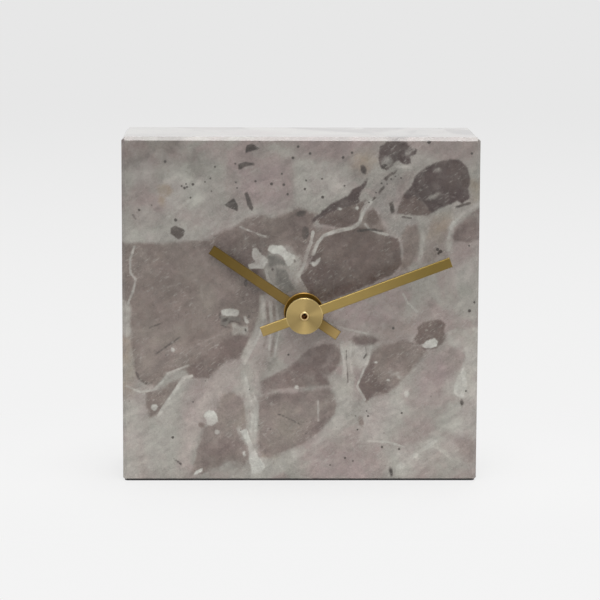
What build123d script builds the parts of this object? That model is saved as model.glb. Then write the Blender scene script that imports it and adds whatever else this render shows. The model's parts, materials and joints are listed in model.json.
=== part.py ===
from build123d import *
import os
from math import atan2, cos, pi, radians, sin

# Marble table clock: a solid block stands on a thin pad, a battery quartz movement sits in a recess
# cut into its back, and two brass hands turn in front of its bare polished face.
#
# Millimetres. The origin is the middle of the resting face, X points to the right as seen from the
# front, Y points to the back and Z points up. The movement is drawn in a frame of its own: x and z are
# measured from the axis of the hands, and y from the front of the movement's case, backwards.

# Marble block
BLOCK_WIDTH = 120.0
BLOCK_HEIGHT = 116.4
BLOCK_DEPTH = 40.0
BLOCK_EDGE_CHAMFER = 1.2
BLOCK_FOOT_CHAMFER = 0.4
FRONT_WALL = 8.0
RECESS_MARGIN = 4.0
RECESS_CORNER_RADIUS = 2.0
RECESS_MOUTH_CHAMFER = 0.8
SHAFT_OFFSET = 1.0
SHAFT_RISE = -0.2
SHAFT_HOLE_CLEARANCE = 0.3

# Pad glued under the block
PAD_THICKNESS = 0.6
PAD_INSET = 0.5
PAD_CORNER_RADIUS = 1.2

# Fits and plays
RUNNING_CLEARANCE = 0.05
LOOSE_CLEARANCE = 0.3
END_PLAY = 0.1
CUT_OVERRUN = 1.0

# Shafts through the face, from the inside out
SECONDS_SHAFT_DIAMETER = 1.0
MINUTE_TUBE_WALL = 1.0
HOUR_TUBE_WALL = 0.9
BUSH_WALL = 1.45
BUSH_FLANGE_WIDTH = 1.5
BUSH_FLANGE_THICKNESS = 0.6
BUSH_END_CHAMFER = 0.3

# Fixing of the movement to the front wall
GASKET_THICKNESS = 1.0
GASKET_DIAMETER = 24.0
WASHER_THICKNESS = 0.4
WASHER_DIAMETER = 12.0
NUT_THICKNESS = 1.8
NUT_ACROSS_FLATS = 10.0
BUSH_PROUD_OF_NUT = 0.2

# Hour hand, from the end of the bush outwards
HOUR_HAND_GAP = 0.3
HOUR_BUSH_LENGTH = 0.8
HOUR_BUSH_WALL = 1.0
HOUR_HAND_THICKNESS = 1.2
HOUR_TUBE_PROUD = 0.3
HOUR_HAND_LENGTH = 37.5
HOUR_HAND_TAIL = 14.0
HOUR_HAND_WIDTH = 3.3
HOUR_HUB_DIAMETER = 13.4
HOUR_HAND_TURN = 304.4

# Minute hand, from the end of the hour tube outwards
MINUTE_HAND_GAP = 3.6
MINUTE_BUSH_LENGTH = 2.8
MINUTE_BUSH_WALL = 1.45
MINUTE_HAND_THICKNESS = 1.4
MINUTE_TUBE_PROUD = 0.3
MINUTE_HAND_LENGTH = 51.8
MINUTE_HAND_TAIL = 15.2
MINUTE_HAND_WIDTH = 3.3
MINUTE_HUB_DIAMETER = 12.2
MINUTE_HAND_TURN = 69.5
HAND_EDGE_CHAMFER = 0.2
TUBE_TIP_CHAMFER = 0.25
TUBE_MOUTH_DIAMETER = 2.0
TUBE_MOUTH_DEPTH = 5.0

# Tooth counts of the train and of the motion work
CANNON_PINION_TEETH = 10
MOTION_WHEEL_TEETH = 30
MOTION_PINION_TEETH = 8
HOUR_WHEEL_TEETH = 32
SETTING_PINION_TEETH = 12
CENTRE_WHEEL_TEETH = 60
THIRD_PINION_TEETH = 8
THIRD_WHEEL_TEETH = 64
SECONDS_PINION_TEETH = 8
SECONDS_WHEEL_TEETH = 40
FIFTH_PINION_TEETH = 8
FIFTH_WHEEL_TEETH = 48
ROTOR_PINION_TEETH = 8

# Tooth form: heights as shares of the module, widths as shares of the angle from tooth to tooth
ADDENDUM_SHARE = 0.85
DEDENDUM_SHARE = 1.1
ROOT_WIDTH_SHARE = 0.46
PITCH_WIDTH_SHARE = 0.40
TIP_WIDTH_SHARE = 0.20

# Wheels and arbors
MOTION_MODULE = 0.5
ROTOR_MODULE = 0.32
MESH_SLACK = 0.03
WHEEL_THICKNESS = 1.0
WHEEL_GAP = 0.6
PINION_OVERHANG = 0.15
ARBOR_RADIUS = 0.5
PIVOT_RADIUS = 0.35
PIVOT_LENGTH = 1.0
SHOULDER_LENGTH = 0.4
BOSS_RADIUS = 1.2
MOTION_POST_RADIUS = 0.8
SETTING_ARBOR_RADIUS = 0.9
THIRD_BOSS_CLEARANCE = 0.5
FIFTH_BOSS_CLEARANCE = 0.3

# Directions between axes, in degrees anticlockwise from the right as seen from the front
MOTION_DIRECTION = 170.0
SETTING_DIRECTION = 200.0
THIRD_DIRECTION = 20.0
FIFTH_DIRECTION = 90.0
ROTOR_DIRECTION = 150.0

# Friction clutch between the centre wheel and the minute tube
CLUTCH_SPRING_THICKNESS = 0.35
CLUTCH_SPRING_WIDTH = 1.8
CLUTCH_COLLAR_THICKNESS = 0.6
CLUTCH_COLLAR_WIDTH = 1.0
CLUTCH_PLAY = 0.05

# Case of the movement
CASE_WALL = 1.2
CASE_CORNER_RADIUS = 2.5
PARTITION_WALL = 1.0
ROOM_CLEARANCE = 1.1
COVER_GAP = 1.1
COVER_LIP_HEIGHT = 0.8
COVER_LIP_WIDTH = 0.8
COVER_RING_WIDTH = 0.8
COVER_RING_HEIGHT = 0.5
BRIDGE_THICKNESS = 1.2
BRIDGE_MARGIN = 1.7
BRIDGE_LOBE_RADIUS = 3.2
PILLAR_RADIUS = 1.8
PILLAR_PIN_RADIUS = 0.9
PILLAR_INSET = 4.0
PILLAR_FOOT_INSET = 2.4
PILLAR_HEAD_RISE = 0.8

# Setting knob
KNOB_DIAMETER = 11.0
KNOB_THICKNESS = 1.6
KNOB_GAP = 0.3
KNOB_SKIN = 0.4
KNOB_FLUTE_COUNT = 30
KNOB_FLUTE_RADIUS = 0.35
KNOB_GRIP_WIDTH = 1.4
KNOB_GRIP_HEIGHT = 0.8

# Stepping motor
MAGNET_RADIUS = 2.5
MAGNET_LENGTH = 2.3
MAGNET_WHEEL_GAP = 0.4
STATOR_THICKNESS = 1.0
STATOR_BORE_CLEARANCE = 0.5
STATOR_RING_WIDTH = 1.2
STATOR_STRIP_HEIGHT = 4.4
STATOR_STRIP_CLEARANCE = 0.6
STATOR_LEG_WIDTH = 4.0
STATOR_SHIFT = 1.7
COIL_CORE_THICKNESS = 1.0
COIL_CORE_HEIGHT = 3.0
BOBBIN_LENGTH = 21.4
BOBBIN_END_GAP = 0.4
BOBBIN_FLANGE_RADIUS = 3.6
BOBBIN_FLANGE_THICKNESS = 0.8
BOBBIN_SPOOL_RADIUS = 2.2
BOBBIN_RISE = 1.5
WINDING_RADIUS = 3.3

# Circuit board and what is soldered to it
BOARD_THICKNESS = 1.0
BOARD_HEIGHT = 11.4
BOARD_POST_RADIUS = 1.2
CHIP_RADIUS = 3.0
CHIP_HEIGHT = 0.8
CRYSTAL_RADIUS = 1.0
CRYSTAL_LENGTH = 6.0

# Battery, its bay and its contacts
BATTERY_DIAMETER = 14.2
BATTERY_LENGTH = 50.5
BATTERY_NUB_DIAMETER = 5.3
BATTERY_NUB_LENGTH = 1.3
BATTERY_WRAP_THICKNESS = 0.15
BATTERY_WRAP_LIP = 1.6
BATTERY_EDGE_RADIUS = 0.6
BAY_CLEARANCE = 0.3
BAY_NOTCH_RADIUS = 8.0
POSITIVE_SPACE = 1.2
NEGATIVE_SPACE = 2.3
CONTACT_THICKNESS = 0.3
CONTACT_HEIGHT = 9.0
CONTACT_GAP = 0.1
CONTACT_STRIP_WIDTH = 2.4
CONTACT_TAB_LENGTH = 3.0
POSITIVE_DIMPLE_RADIUS = 2.0


# Worked-out sizes of the teeth

def pitch_radius(teeth, module):
    return teeth * module / 2


def tip_radius(teeth, module):
    return pitch_radius(teeth, module) + ADDENDUM_SHARE * module


def root_radius(teeth, module):
    return pitch_radius(teeth, module) - DEDENDUM_SHARE * module


def mesh_distance(teeth, other_teeth, module):
    return pitch_radius(teeth + other_teeth, module) + MESH_SLACK


def mesh_module(teeth, other_teeth, distance):
    return 2 * (distance - MESH_SLACK) / (teeth + other_teeth)


# Radii about the axis of the hands
SECONDS_SHAFT_RADIUS = SECONDS_SHAFT_DIAMETER / 2
MINUTE_BORE = SECONDS_SHAFT_RADIUS + RUNNING_CLEARANCE
MINUTE_TUBE_RADIUS = MINUTE_BORE + MINUTE_TUBE_WALL
HOUR_BORE = MINUTE_TUBE_RADIUS + RUNNING_CLEARANCE
HOUR_TUBE_RADIUS = HOUR_BORE + HOUR_TUBE_WALL
BUSH_BORE = HOUR_TUBE_RADIUS + RUNNING_CLEARANCE
BUSH_RADIUS = BUSH_BORE + BUSH_WALL
BUSH_FLANGE_RADIUS = BUSH_RADIUS + BUSH_FLANGE_WIDTH
SHAFT_HOLE_RADIUS = BUSH_RADIUS + SHAFT_HOLE_CLEARANCE

# Distances between axes, each set by what has to pass beside a wheel
MOTION_DISTANCE = mesh_distance(CANNON_PINION_TEETH, MOTION_WHEEL_TEETH, MOTION_MODULE)
SETTING_DISTANCE = mesh_distance(MOTION_WHEEL_TEETH, SETTING_PINION_TEETH, MOTION_MODULE)
HOUR_WHEEL_TIP = tip_radius(HOUR_WHEEL_TEETH, MOTION_MODULE)
THIRD_DISTANCE = HOUR_WHEEL_TIP + THIRD_BOSS_CLEARANCE + BOSS_RADIUS
CENTRE_MODULE = mesh_module(CENTRE_WHEEL_TEETH, THIRD_PINION_TEETH, THIRD_DISTANCE)
THIRD_MODULE = mesh_module(THIRD_WHEEL_TEETH, SECONDS_PINION_TEETH, THIRD_DISTANCE)
CENTRE_WHEEL_TIP = tip_radius(CENTRE_WHEEL_TEETH, CENTRE_MODULE)
FIFTH_DISTANCE = CENTRE_WHEEL_TIP + FIFTH_BOSS_CLEARANCE + BOSS_RADIUS
SECONDS_MODULE = mesh_module(SECONDS_WHEEL_TEETH, FIFTH_PINION_TEETH, FIFTH_DISTANCE)
SECONDS_WHEEL_TIP = tip_radius(SECONDS_WHEEL_TEETH, SECONDS_MODULE)
ROTOR_DISTANCE = mesh_distance(FIFTH_WHEEL_TEETH, ROTOR_PINION_TEETH, ROTOR_MODULE)


def step_from(start, distance, direction):
    """Point at a distance from a start point, in a direction in degrees."""
    return (start[0] + distance * cos(radians(direction)), start[1] + distance * sin(radians(direction)))


# Axes of the movement, as x and z from the axis of the hands
CENTRE = (0, 0)
MOTION = step_from(CENTRE, MOTION_DISTANCE, MOTION_DIRECTION)
SETTING = step_from(MOTION, SETTING_DISTANCE, SETTING_DIRECTION)
THIRD = step_from(CENTRE, THIRD_DISTANCE, THIRD_DIRECTION)
FIFTH = step_from(CENTRE, FIFTH_DISTANCE, FIFTH_DIRECTION)
ROTOR = step_from(FIFTH, ROTOR_DISTANCE, ROTOR_DIRECTION)

# Levels of the movement, as depth behind the front of its case
LEVEL_STEP = WHEEL_THICKNESS + WHEEL_GAP
HOUR_LEVEL = CASE_WALL + WHEEL_GAP
MOTION_LEVEL = HOUR_LEVEL + LEVEL_STEP
CLUTCH_LEVEL = MOTION_LEVEL + LEVEL_STEP
CENTRE_LEVEL = CLUTCH_LEVEL + CLUTCH_SPRING_THICKNESS + CLUTCH_PLAY
COLLAR_LEVEL = CENTRE_LEVEL + WHEEL_THICKNESS + CLUTCH_PLAY
MINUTE_TUBE_END = COLLAR_LEVEL + CLUTCH_COLLAR_THICKNESS
THIRD_LEVEL = MINUTE_TUBE_END + WHEEL_GAP
SECONDS_LEVEL = THIRD_LEVEL + LEVEL_STEP
FIFTH_LEVEL = SECONDS_LEVEL + LEVEL_STEP
BRIDGE_LEVEL = FIFTH_LEVEL + LEVEL_STEP
BRIDGE_BACK = BRIDGE_LEVEL + BRIDGE_THICKNESS
COVER_LEVEL = BRIDGE_BACK + COVER_GAP
CASE_DEPTH = COVER_LEVEL + CASE_WALL
MAGNET_BACK = FIFTH_LEVEL - MAGNET_WHEEL_GAP
MAGNET_FRONT = MAGNET_BACK - MAGNET_LENGTH
STATOR_LEVEL = MAGNET_FRONT + (MAGNET_LENGTH - STATOR_THICKNESS) / 2
STATOR_BACK = STATOR_LEVEL + STATOR_THICKNESS
KNOB_LEVEL = CASE_DEPTH + KNOB_GAP
KNOB_BACK = KNOB_LEVEL + KNOB_THICKNESS

# Depths in front of the movement, all negative
FACE = -GASKET_THICKNESS - FRONT_WALL
WASHER_FRONT = FACE - WASHER_THICKNESS
NUT_FRONT = WASHER_FRONT - NUT_THICKNESS
BUSH_FRONT = NUT_FRONT - BUSH_PROUD_OF_NUT
HOUR_BUSH_BACK = BUSH_FRONT - HOUR_HAND_GAP
HOUR_HAND_BACK = HOUR_BUSH_BACK - HOUR_BUSH_LENGTH
HOUR_HAND_FRONT = HOUR_HAND_BACK - HOUR_HAND_THICKNESS
HOUR_TUBE_FRONT = HOUR_HAND_FRONT - HOUR_TUBE_PROUD
MINUTE_BUSH_BACK = HOUR_TUBE_FRONT - MINUTE_HAND_GAP
MINUTE_HAND_BACK = MINUTE_BUSH_BACK - MINUTE_BUSH_LENGTH
MINUTE_HAND_FRONT = MINUTE_HAND_BACK - MINUTE_HAND_THICKNESS
MINUTE_TUBE_FRONT = MINUTE_HAND_FRONT - MINUTE_TUBE_PROUD
SECONDS_SHAFT_FRONT = MINUTE_TUBE_FRONT + TUBE_MOUTH_DEPTH + LOOSE_CLEARANCE

# Stepping motor, above the train
FIFTH_PINION_TIP = tip_radius(FIFTH_PINION_TEETH, SECONDS_MODULE)
STATOR_BORE = MAGNET_RADIUS + STATOR_BORE_CLEARANCE
STATOR_BOTTOM = FIFTH[1] + FIFTH_PINION_TIP + STATOR_STRIP_CLEARANCE
STATOR_STRIP_TOP = STATOR_BOTTOM + STATOR_STRIP_HEIGHT
STATOR_MIDDLE = ROTOR[0] + STATOR_SHIFT
STATOR_INNER_HALF = BOBBIN_LENGTH / 2 + BOBBIN_END_GAP
STATOR_HALF = STATOR_INNER_HALF + STATOR_LEG_WIDTH
COIL_HEIGHT = STATOR_STRIP_TOP + BOBBIN_RISE + BOBBIN_FLANGE_RADIUS
COIL_CORE_BACK = STATOR_BACK + COIL_CORE_THICKNESS
COIL_DEPTH = (STATOR_BACK + COIL_CORE_BACK) / 2

# Rooms of the case
ROOM_TOP = COIL_HEIGHT + BOBBIN_FLANGE_RADIUS + LOOSE_CLEARANCE
ROOM_BOTTOM = -max(HOUR_WHEEL_TIP, CENTRE_WHEEL_TIP, SECONDS_WHEEL_TIP) - ROOM_CLEARANCE
BAY_HALF = (BATTERY_LENGTH + POSITIVE_SPACE + NEGATIVE_SPACE) / 2
SETTING_REACH = abs(SETTING[0]) + tip_radius(SETTING_PINION_TEETH, MOTION_MODULE) + ROOM_CLEARANCE
STATOR_REACH = STATOR_HALF + abs(STATOR_MIDDLE) + LOOSE_CLEARANCE
ROOM_HALF = max(BAY_HALF, SETTING_REACH, STATOR_REACH)
CASE_HALF = ROOM_HALF + CASE_WALL
CASE_TOP = ROOM_TOP + CASE_WALL
BAY_TOP = ROOM_BOTTOM - PARTITION_WALL
BAY_HEIGHT = BATTERY_DIAMETER + 2 * BAY_CLEARANCE
BAY_BOTTOM = BAY_TOP - BAY_HEIGHT
CASE_BOTTOM = BAY_BOTTOM - CASE_WALL
BATTERY_HEIGHT = BAY_TOP - BAY_HEIGHT / 2
BATTERY_DEPTH = CASE_WALL + BAY_CLEARANCE + BATTERY_DIAMETER / 2
BATTERY_POSITIVE_END = BAY_HALF - POSITIVE_SPACE
BATTERY_NEGATIVE_END = BATTERY_POSITIVE_END - BATTERY_LENGTH

# Circuit board beside the coil, in the upper right corner of the case
CONTACT_FACE = BAY_HALF - CONTACT_THICKNESS
BOARD_LEFT = STATOR_MIDDLE + STATOR_HALF + LOOSE_CLEARANCE
BOARD_RIGHT = CONTACT_FACE - LOOSE_CLEARANCE
BOARD_TOP = ROOM_TOP - LOOSE_CLEARANCE
BOARD_BOTTOM = BOARD_TOP - BOARD_HEIGHT
BOARD_WIDTH = BOARD_RIGHT - BOARD_LEFT
BOARD_LEVEL = STATOR_LEVEL
BOARD_BACK = BOARD_LEVEL + BOARD_THICKNESS
BOARD_MIDDLE = ((BOARD_LEFT + BOARD_RIGHT) / 2, (BOARD_BOTTOM + BOARD_TOP) / 2)

# Pillars that carry the bridge
PILLAR_X = ROOM_HALF - PILLAR_INSET
PILLAR_LOW = ROOM_BOTTOM + PILLAR_FOOT_INSET
PILLAR_HIGH = FIFTH[1] + PILLAR_HEAD_RISE
PILLARS = [(side * PILLAR_X, height) for side in (-1, 1) for height in (PILLAR_LOW, PILLAR_HIGH)]

# Where the movement sits in the clock
BLOCK_MIDDLE = PAD_THICKNESS + BLOCK_HEIGHT / 2
SHAFT_HEIGHT = BLOCK_MIDDLE + SHAFT_RISE
CASE_FRONT_DEPTH = FRONT_WALL + GASKET_THICKNESS - BLOCK_DEPTH / 2
MOVEMENT_PLACE = Pos(SHAFT_OFFSET, CASE_FRONT_DEPTH, SHAFT_HEIGHT)


# Drawing helpers

def slab(outline, front, back):
    """Solid of an outline, drawn as seen from the front, between two depths."""
    drawing = Plane(origin=(0, back, 0), x_dir=(1, 0, 0), z_dir=(0, -1, 0))
    return extrude(drawing * outline, amount=back - front)


def disc(radius, front, back, at=CENTRE):
    return slab(Pos(*at) * Circle(radius), front, back)


def ring(outer, inner, front, back, at=CENTRE):
    return slab(Pos(*at) * (Circle(outer) - Circle(inner)), front, back)


def brick(x_span, y_span, z_span):
    """Box between two values on each axis."""
    spans = (x_span, y_span, z_span)
    middle = [(low + high) / 2 for low, high in spans]
    return Pos(*middle) * Box(*[high - low for low, high in spans])


def panel(left, right, bottom, top, corner):
    """Outline of a plate between four edges, with round corners."""
    middle = Pos((left + right) / 2, (bottom + top) / 2)
    return middle * RectangleRounded(right - left, top - bottom, corner)


def front_rim(solid):
    """Edges round the outside of a solid's front face."""
    return solid.faces().sort_by(Axis.Y)[0].outer_wire().edges()


# Wheels

def toothed(teeth, module, phase):
    """Outline of a wheel, with the middle of one tooth at an angle in radians."""
    step = 2 * pi / teeth
    tip = tip_radius(teeth, module)
    pitch = pitch_radius(teeth, module)
    root = root_radius(teeth, module)
    flank = [(root, ROOT_WIDTH_SHARE / 2), (pitch, PITCH_WIDTH_SHARE / 2), (tip, TIP_WIDTH_SHARE / 2)]
    profile = [(radius, -share) for radius, share in flank] + flank[::-1]
    polar = [(radius, phase + step * (tooth + share)) for tooth in range(teeth) for radius, share in profile]
    points = [(radius * cos(angle), radius * sin(angle)) for radius, angle in polar]
    return make_face(Polyline(*points, close=True))


def meshed_phase(teeth, phase, place, other_teeth, other_place):
    """Phase of a wheel whose gap meets a tooth of the wheel that it works with."""
    direction = atan2(other_place[1] - place[1], other_place[0] - place[0])
    share = (direction - phase) / (2 * pi / teeth)
    return direction + pi - (2 * pi / other_teeth) * (1 / 2 - share)


def wheel(teeth, module, phase, at, level):
    return slab(Pos(*at) * toothed(teeth, module, phase), level, level + WHEEL_THICKNESS)


def pinion(teeth, module, phase, at, level):
    """Pinion a little longer than the wheel at its level."""
    front = level - PINION_OVERHANG
    back = level + WHEEL_THICKNESS + PINION_OVERHANG
    return slab(Pos(*at) * toothed(teeth, module, phase), front, back)


def pivots(at, shoulder_front):
    """Arbor from a shoulder in front to the bridge, with a thin pivot at each end."""
    shoulder_back = BRIDGE_LEVEL - END_PLAY
    arbor = disc(ARBOR_RADIUS, shoulder_front, shoulder_back, at)
    tips = disc(PIVOT_RADIUS, shoulder_front - PIVOT_LENGTH, BRIDGE_LEVEL + PIVOT_LENGTH, at)
    return arbor + tips


# Phases of all wheels, worked out from mesh to mesh
CANNON_PHASE = 0
MOTION_PHASE = meshed_phase(CANNON_PINION_TEETH, CANNON_PHASE, CENTRE, MOTION_WHEEL_TEETH, MOTION)
HOUR_PHASE = meshed_phase(MOTION_PINION_TEETH, MOTION_PHASE, MOTION, HOUR_WHEEL_TEETH, CENTRE)
SETTING_PHASE = meshed_phase(MOTION_WHEEL_TEETH, MOTION_PHASE, MOTION, SETTING_PINION_TEETH, SETTING)
SECONDS_PHASE = 0
THIRD_PHASE = meshed_phase(SECONDS_PINION_TEETH, SECONDS_PHASE, CENTRE, THIRD_WHEEL_TEETH, THIRD)
CENTRE_PHASE = meshed_phase(THIRD_PINION_TEETH, THIRD_PHASE, THIRD, CENTRE_WHEEL_TEETH, CENTRE)
FIFTH_PHASE = meshed_phase(SECONDS_WHEEL_TEETH, SECONDS_PHASE, CENTRE, FIFTH_PINION_TEETH, FIFTH)
ROTOR_PHASE = meshed_phase(FIFTH_WHEEL_TEETH, FIFTH_PHASE, FIFTH, ROTOR_PINION_TEETH, ROTOR)

# Shoulders in front of the pinions, where the bosses of the case end
THIRD_SHOULDER = CENTRE_LEVEL - PINION_OVERHANG - SHOULDER_LENGTH
FIFTH_SHOULDER = SECONDS_LEVEL - PINION_OVERHANG - SHOULDER_LENGTH
ROTOR_SHOULDER = MAGNET_FRONT - SHOULDER_LENGTH
SETTING_SHOULDER = MOTION_LEVEL - PINION_OVERHANG - SHOULDER_LENGTH


# Stone and pad

def marble_block():
    body = Pos(0, 0, BLOCK_MIDDLE) * Box(BLOCK_WIDTH, BLOCK_DEPTH, BLOCK_HEIGHT)
    foot = body.edges().group_by(Axis.Z)[0]
    body = chamfer([edge for edge in body.edges() if edge not in foot], BLOCK_EDGE_CHAMFER)
    body = chamfer(body.faces().sort_by(Axis.Z)[0].edges(), BLOCK_FOOT_CHAMFER)
    recess = panel(
        -CASE_HALF - RECESS_MARGIN,
        CASE_HALF + RECESS_MARGIN,
        CASE_BOTTOM - RECESS_MARGIN,
        CASE_TOP + RECESS_MARGIN,
        RECESS_CORNER_RADIUS,
    )
    back = BLOCK_DEPTH - FRONT_WALL - GASKET_THICKNESS
    body -= MOVEMENT_PLACE * slab(recess, -GASKET_THICKNESS, back + CUT_OVERRUN)
    body -= MOVEMENT_PLACE * disc(SHAFT_HOLE_RADIUS, FACE - CUT_OVERRUN, 0)
    back_face = body.faces().filter_by(Axis.Y).sort_by(Axis.Y)[-1]
    return chamfer(back_face.inner_wires()[0].edges(), RECESS_MOUTH_CHAMFER)


def base_pad():
    width = BLOCK_WIDTH - 2 * PAD_INSET
    depth = BLOCK_DEPTH - 2 * PAD_INSET
    return extrude(RectangleRounded(width, depth, PAD_CORNER_RADIUS), amount=PAD_THICKNESS)


# Fixing through the front wall

def threaded_bush():
    barrel = ring(BUSH_RADIUS, BUSH_BORE, BUSH_FRONT, CASE_WALL)
    barrel = chamfer(front_rim(barrel), BUSH_END_CHAMFER)
    return barrel + ring(BUSH_FLANGE_RADIUS, BUSH_BORE, CASE_WALL - BUSH_FLANGE_THICKNESS, CASE_WALL)


def gasket():
    return ring(GASKET_DIAMETER / 2, SHAFT_HOLE_RADIUS, -GASKET_THICKNESS, 0)


def nut_washer():
    return ring(WASHER_DIAMETER / 2, BUSH_RADIUS + RUNNING_CLEARANCE, WASHER_FRONT, FACE)


def hex_nut():
    flats = NUT_ACROSS_FLATS / 2
    outline = RegularPolygon(flats, 6, major_radius=False) - Circle(BUSH_RADIUS + RUNNING_CLEARANCE)
    return slab(outline, NUT_FRONT, WASHER_FRONT)


# Hands and their tubes

def hand(length, tail, width, hub_diameter, hole, turn, front, back):
    """Flat bar through a round hub, turned clockwise from twelve o'clock."""
    bar = Pos(0, (length - tail) / 2) * Rectangle(width, length + tail)
    outline = Rot(0, 0, -turn) * (Circle(hub_diameter / 2) + bar)
    plate = slab(outline, front, back)
    plate = chamfer(front_rim(plate), HAND_EDGE_CHAMFER)
    return plate - disc(hole, front - CUT_OVERRUN, back + CUT_OVERRUN)


def hour_hand():
    return hand(
        HOUR_HAND_LENGTH,
        HOUR_HAND_TAIL,
        HOUR_HAND_WIDTH,
        HOUR_HUB_DIAMETER,
        HOUR_TUBE_RADIUS,
        HOUR_HAND_TURN,
        HOUR_HAND_FRONT,
        HOUR_HAND_BACK,
    )


def hour_hand_bush():
    return ring(HOUR_TUBE_RADIUS + HOUR_BUSH_WALL, HOUR_TUBE_RADIUS, HOUR_HAND_BACK, HOUR_BUSH_BACK)


def minute_hand():
    return hand(
        MINUTE_HAND_LENGTH,
        MINUTE_HAND_TAIL,
        MINUTE_HAND_WIDTH,
        MINUTE_HUB_DIAMETER,
        MINUTE_TUBE_RADIUS,
        MINUTE_HAND_TURN,
        MINUTE_HAND_FRONT,
        MINUTE_HAND_BACK,
    )


def minute_hand_bush():
    outer = MINUTE_TUBE_RADIUS + MINUTE_BUSH_WALL
    return ring(outer, MINUTE_TUBE_RADIUS, MINUTE_HAND_BACK, MINUTE_BUSH_BACK)


def minute_tube():
    tube = disc(MINUTE_TUBE_RADIUS, MINUTE_TUBE_FRONT, MINUTE_TUBE_END)
    tube = chamfer(front_rim(tube), TUBE_TIP_CHAMFER)
    tube += pinion(CANNON_PINION_TEETH, MOTION_MODULE, CANNON_PHASE, CENTRE, MOTION_LEVEL)
    shoulder = max(root_radius(CANNON_PINION_TEETH, MOTION_MODULE), MINUTE_TUBE_RADIUS)
    tube += disc(shoulder, MOTION_LEVEL, CLUTCH_LEVEL)
    tube -= disc(MINUTE_BORE, MINUTE_TUBE_FRONT - CUT_OVERRUN, MINUTE_TUBE_END + CUT_OVERRUN)
    mouth_end = MINUTE_TUBE_FRONT + TUBE_MOUTH_DEPTH
    return tube - disc(TUBE_MOUTH_DIAMETER / 2, MINUTE_TUBE_FRONT - CUT_OVERRUN, mouth_end)


def hour_wheel():
    body = disc(HOUR_TUBE_RADIUS, HOUR_TUBE_FRONT, HOUR_LEVEL + WHEEL_THICKNESS)
    body += wheel(HOUR_WHEEL_TEETH, MOTION_MODULE, HOUR_PHASE, CENTRE, HOUR_LEVEL)
    return body - disc(HOUR_BORE, HOUR_TUBE_FRONT - CUT_OVERRUN, HOUR_LEVEL + WHEEL_THICKNESS + CUT_OVERRUN)


# Friction clutch, motion work and setting

def clutch_spring():
    outer = MINUTE_TUBE_RADIUS + CLUTCH_SPRING_WIDTH
    return ring(outer, MINUTE_TUBE_RADIUS, CLUTCH_LEVEL, CLUTCH_LEVEL + CLUTCH_SPRING_THICKNESS)


def clutch_collar():
    return ring(MINUTE_TUBE_RADIUS + CLUTCH_COLLAR_WIDTH, MINUTE_TUBE_RADIUS, COLLAR_LEVEL, MINUTE_TUBE_END)


def centre_wheel():
    body = wheel(CENTRE_WHEEL_TEETH, CENTRE_MODULE, CENTRE_PHASE, CENTRE, CENTRE_LEVEL)
    return body - disc(HOUR_BORE, CENTRE_LEVEL - CUT_OVERRUN, COLLAR_LEVEL + CUT_OVERRUN)


def motion_work_wheel():
    body = wheel(MOTION_WHEEL_TEETH, MOTION_MODULE, MOTION_PHASE, MOTION, MOTION_LEVEL)
    front = HOUR_LEVEL - PINION_OVERHANG
    leaves = Pos(*MOTION) * toothed(MOTION_PINION_TEETH, MOTION_MODULE, MOTION_PHASE)
    body += slab(leaves, front, MOTION_LEVEL)
    bore = MOTION_POST_RADIUS + RUNNING_CLEARANCE
    return body - disc(bore, front - CUT_OVERRUN, CLUTCH_LEVEL, MOTION)


def setting_arbor():
    body = pinion(SETTING_PINION_TEETH, MOTION_MODULE, SETTING_PHASE, SETTING, MOTION_LEVEL)
    body += disc(SETTING_ARBOR_RADIUS, SETTING_SHOULDER + END_PLAY, KNOB_BACK - KNOB_SKIN, SETTING)
    return body + disc(PIVOT_RADIUS, SETTING_SHOULDER - PIVOT_LENGTH, MOTION_LEVEL, SETTING)


def setting_knob():
    radius = KNOB_DIAMETER / 2
    flutes = PolarLocations(radius, KNOB_FLUTE_COUNT) * Circle(KNOB_FLUTE_RADIUS)
    body = slab(Pos(*SETTING) * (Circle(radius) - flutes), KNOB_LEVEL, KNOB_BACK)
    length = KNOB_DIAMETER - 2 * KNOB_GRIP_WIDTH
    grip = Pos(*SETTING) * SlotOverall(length, KNOB_GRIP_WIDTH)
    body += slab(grip, KNOB_BACK, KNOB_BACK + KNOB_GRIP_HEIGHT)
    return body - disc(SETTING_ARBOR_RADIUS, KNOB_LEVEL - CUT_OVERRUN, KNOB_BACK - KNOB_SKIN, SETTING)


# Going train

def third_wheel():
    body = wheel(THIRD_WHEEL_TEETH, THIRD_MODULE, THIRD_PHASE, THIRD, THIRD_LEVEL)
    body += pinion(THIRD_PINION_TEETH, CENTRE_MODULE, THIRD_PHASE, THIRD, CENTRE_LEVEL)
    return body + pivots(THIRD, THIRD_SHOULDER + END_PLAY)


def fifth_wheel():
    body = wheel(FIFTH_WHEEL_TEETH, ROTOR_MODULE, FIFTH_PHASE, FIFTH, FIFTH_LEVEL)
    body += pinion(FIFTH_PINION_TEETH, SECONDS_MODULE, FIFTH_PHASE, FIFTH, SECONDS_LEVEL)
    return body + pivots(FIFTH, FIFTH_SHOULDER + END_PLAY)


def seconds_wheel():
    body = wheel(SECONDS_WHEEL_TEETH, SECONDS_MODULE, SECONDS_PHASE, CENTRE, SECONDS_LEVEL)
    front = THIRD_LEVEL - PINION_OVERHANG
    body += slab(toothed(SECONDS_PINION_TEETH, THIRD_MODULE, SECONDS_PHASE), front, SECONDS_LEVEL)
    return body - disc(SECONDS_SHAFT_RADIUS, front - CUT_OVERRUN, FIFTH_LEVEL)


def seconds_shaft():
    shaft = disc(SECONDS_SHAFT_RADIUS, SECONDS_SHAFT_FRONT, BRIDGE_LEVEL - END_PLAY)
    return shaft + disc(PIVOT_RADIUS, SECONDS_LEVEL, BRIDGE_LEVEL + PIVOT_LENGTH)


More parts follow.
